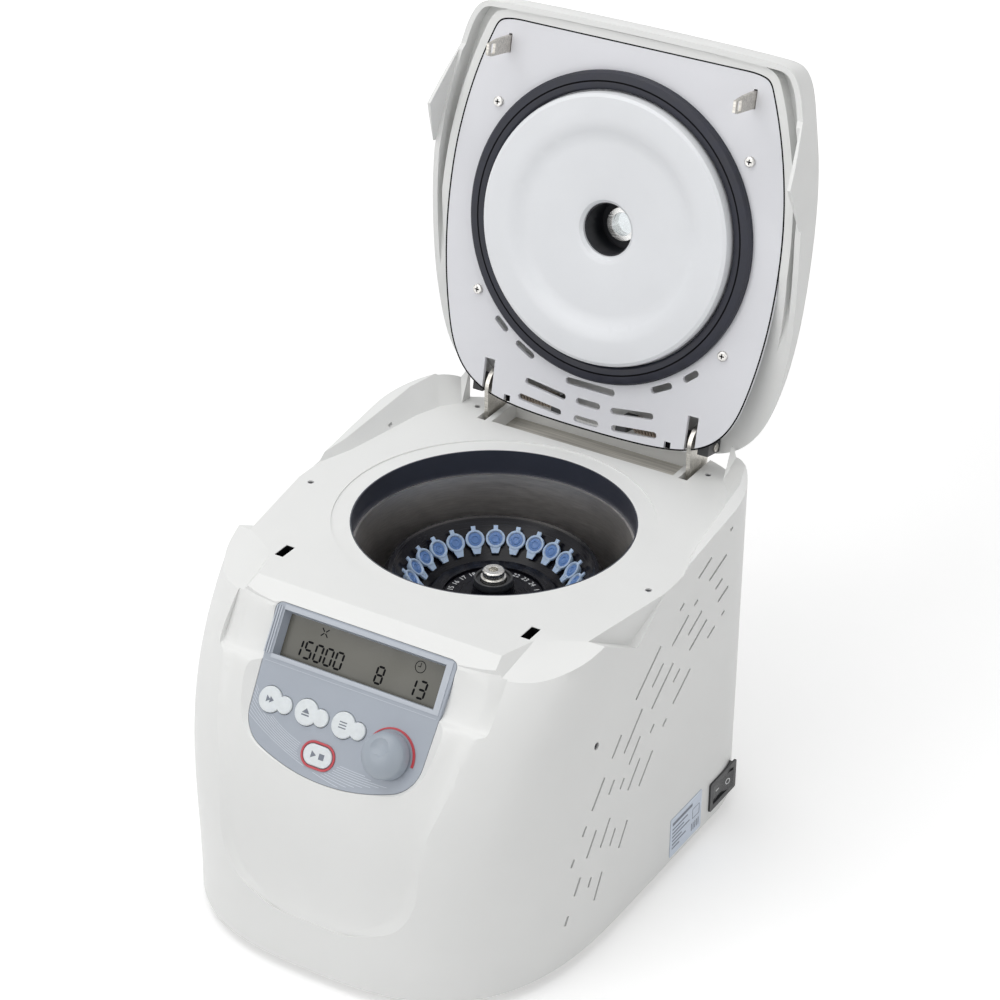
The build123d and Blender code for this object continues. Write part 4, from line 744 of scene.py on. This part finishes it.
# Bent steel tray in the trough of the hinge: its section to the rear and up from the deck
tray_half = 71.8
tray_outline = [(114.05, -0.5), (114.05, -12), (146.9, -12), (146.9, -11.6), (114.45, -11.6), (114.45, -0.5)]
tray = slab(tray_outline, -tray_half, tray_half)
piece("trough_tray", tray, finishes["plain_steel"], "housing",
      Matrix(((0, 0, 1, 0), (1, 0, 0, 0), (0, 1, 0, deck_z * mm), (0, 0, 0, 1))))

# Painted shade: black linings inside the two latch slots in the deck
latch_slot_x = 92.5
latch_slot_shades = []
for side in (-1, 1):
    middle = side * latch_slot_x
    latch_slot_shades.append(frame_band(
        rectangle(middle - 3.22, middle + 3.22, -114.47, -100.53),
        rectangle(middle - 2.9, middle + 2.9, -114.1, -100.9),
        deck_z - 9, deck_z - 0.4,
    ))
piece("latch_slot_shade", joined(latch_slot_shades), painted_shade_black, "housing")

# Camera, floor and light

camera_azimuth = radians(31.14)
camera_height = radians(29.90)
camera_roll = radians(-0.59)
camera_spot = Vector((869.67, -1431.99, deck_z + 977.51)) * mm
focal_pixels = 2945.3
picture_pixels = 1000
forward = Vector((
    -sin(camera_azimuth) * cos(camera_height),
    cos(camera_azimuth) * cos(camera_height),
    -sin(camera_height),
))
level_right = Vector((cos(camera_azimuth), sin(camera_azimuth), 0))
level_down = forward.cross(level_right)
camera_right = cos(camera_roll) * level_right + sin(camera_roll) * level_down
camera_down = -sin(camera_roll) * level_right + cos(camera_roll) * level_down
camera_data = bpy.data.cameras.new("camera")
camera_data.sensor_width = 36.0
camera_data.lens = camera_data.sensor_width * focal_pixels / picture_pixels
camera_data.clip_end = 50
camera = bpy.data.objects.new("camera", camera_data)
bpy.context.scene.collection.objects.link(camera)
camera.matrix_world = Matrix((
    (camera_right.x, -camera_down.x, -forward.x, camera_spot.x),
    (camera_right.y, -camera_down.y, -forward.y, camera_spot.y),
    (camera_right.z, -camera_down.z, -forward.z, camera_spot.z),
    (0, 0, 0, 1),
))
bpy.context.scene.camera = camera

floor_mesh = bpy.data.meshes.new("floor")
bm = bmesh.new()
bmesh.ops.create_grid(bm, x_segments=2, y_segments=2, size=14)
bm.to_mesh(floor_mesh)
bm.free()
floor = bpy.data.objects.new("floor", floor_mesh)
bpy.context.scene.collection.objects.link(floor)


def seen_directly(tree):
    """One for rays of the camera, of mirror images and through clear material, else nought."""
    path = tree.nodes.new("ShaderNodeLightPath")
    seen = path.outputs["Is Camera Ray"]
    for other in ("Is Glossy Ray", "Is Transmission Ray"):
        larger = tree.nodes.new("ShaderNodeMath")
        larger.operation = "MAXIMUM"
        tree.links.new(seen, larger.inputs[0])
        tree.links.new(path.outputs[other], larger.inputs[1])
        seen = larger.outputs["Value"]
    return seen


def between(tree, value, low, high):
    """Number that runs from one value to the other as the given one runs from nought to one."""
    remap = tree.nodes.new("ShaderNodeMapRange")
    remap.inputs["To Min"].default_value = low
    remap.inputs["To Max"].default_value = high
    tree.links.new(value, remap.inputs["Value"])
    return remap.outputs["Result"]


floor_finish, tree, shader, coords = new_finish("floor_white")
floor_tones = shades(tree, noise(tree, coords, 3.0), (0.87, 0.87, 0.87), (0.9, 0.9, 0.9))
tree.links.new(floor_tones, shader.inputs["Base Color"])
shader.inputs["Roughness"].default_value = 0.8
shader.inputs["Specular IOR Level"].default_value = 0.1
shader.inputs["Emission Color"].default_value = (1, 1, 1, 1)
# Seen directly, the floor glows more the further it lies from the part, so its far end stays white
away = tree.nodes.new("ShaderNodeVectorMath")
away.operation = "LENGTH"
tree.links.new(coords, away.inputs[0])
glow = between(tree, away.outputs["Value"], 0.3, 1.0)
glow.node.inputs["From Min"].default_value = 0.7
glow.node.inputs["From Max"].default_value = 3.0
shown = tree.nodes.new("ShaderNodeMath")
shown.operation = "MULTIPLY"
tree.links.new(glow, shown.inputs[0])
tree.links.new(seen_directly(tree), shown.inputs[1])
tree.links.new(shown.outputs["Value"], shader.inputs["Emission Strength"])
floor_mesh.materials.append(floor_finish)


def soft_light(name, spot, width, height, power):
    """Large soft lamp at a spot, turned towards the part."""
    data = bpy.data.lights.new(name, "AREA")
    data.shape = "RECTANGLE"
    data.size = width
    data.size_y = height
    data.energy = power
    lamp = bpy.data.objects.new(name, data)
    bpy.context.scene.collection.objects.link(lamp)
    lamp.location = spot
    lamp.rotation_mode = "QUATERNION"
    lamp.rotation_quaternion = (Vector((0, 0, 0.2)) - Vector(spot)).to_track_quat("-Z", "Y")


soft_light("top_lamp", (-0.5, -0.2, 2.4), 2.6, 2.2, 31)
soft_light("front_lamp", (-0.9, -2.6, 1.5), 2.2, 1.6, 20)
soft_light("right_lamp", (2.6, -0.6, 1.2), 1.6, 1.6, 10)

world = bpy.data.worlds.new("studio")
world.use_nodes = True
background = world.node_tree.nodes["Background"]
background.inputs["Color"].default_value = (1, 1, 1, 1)
world.node_tree.links.new(between(world.node_tree, seen_directly(world.node_tree), 0.4, 1.0),
                          background.inputs["Strength"])
bpy.context.scene.world = world
bpy.context.scene.view_settings.view_transform = "Standard"
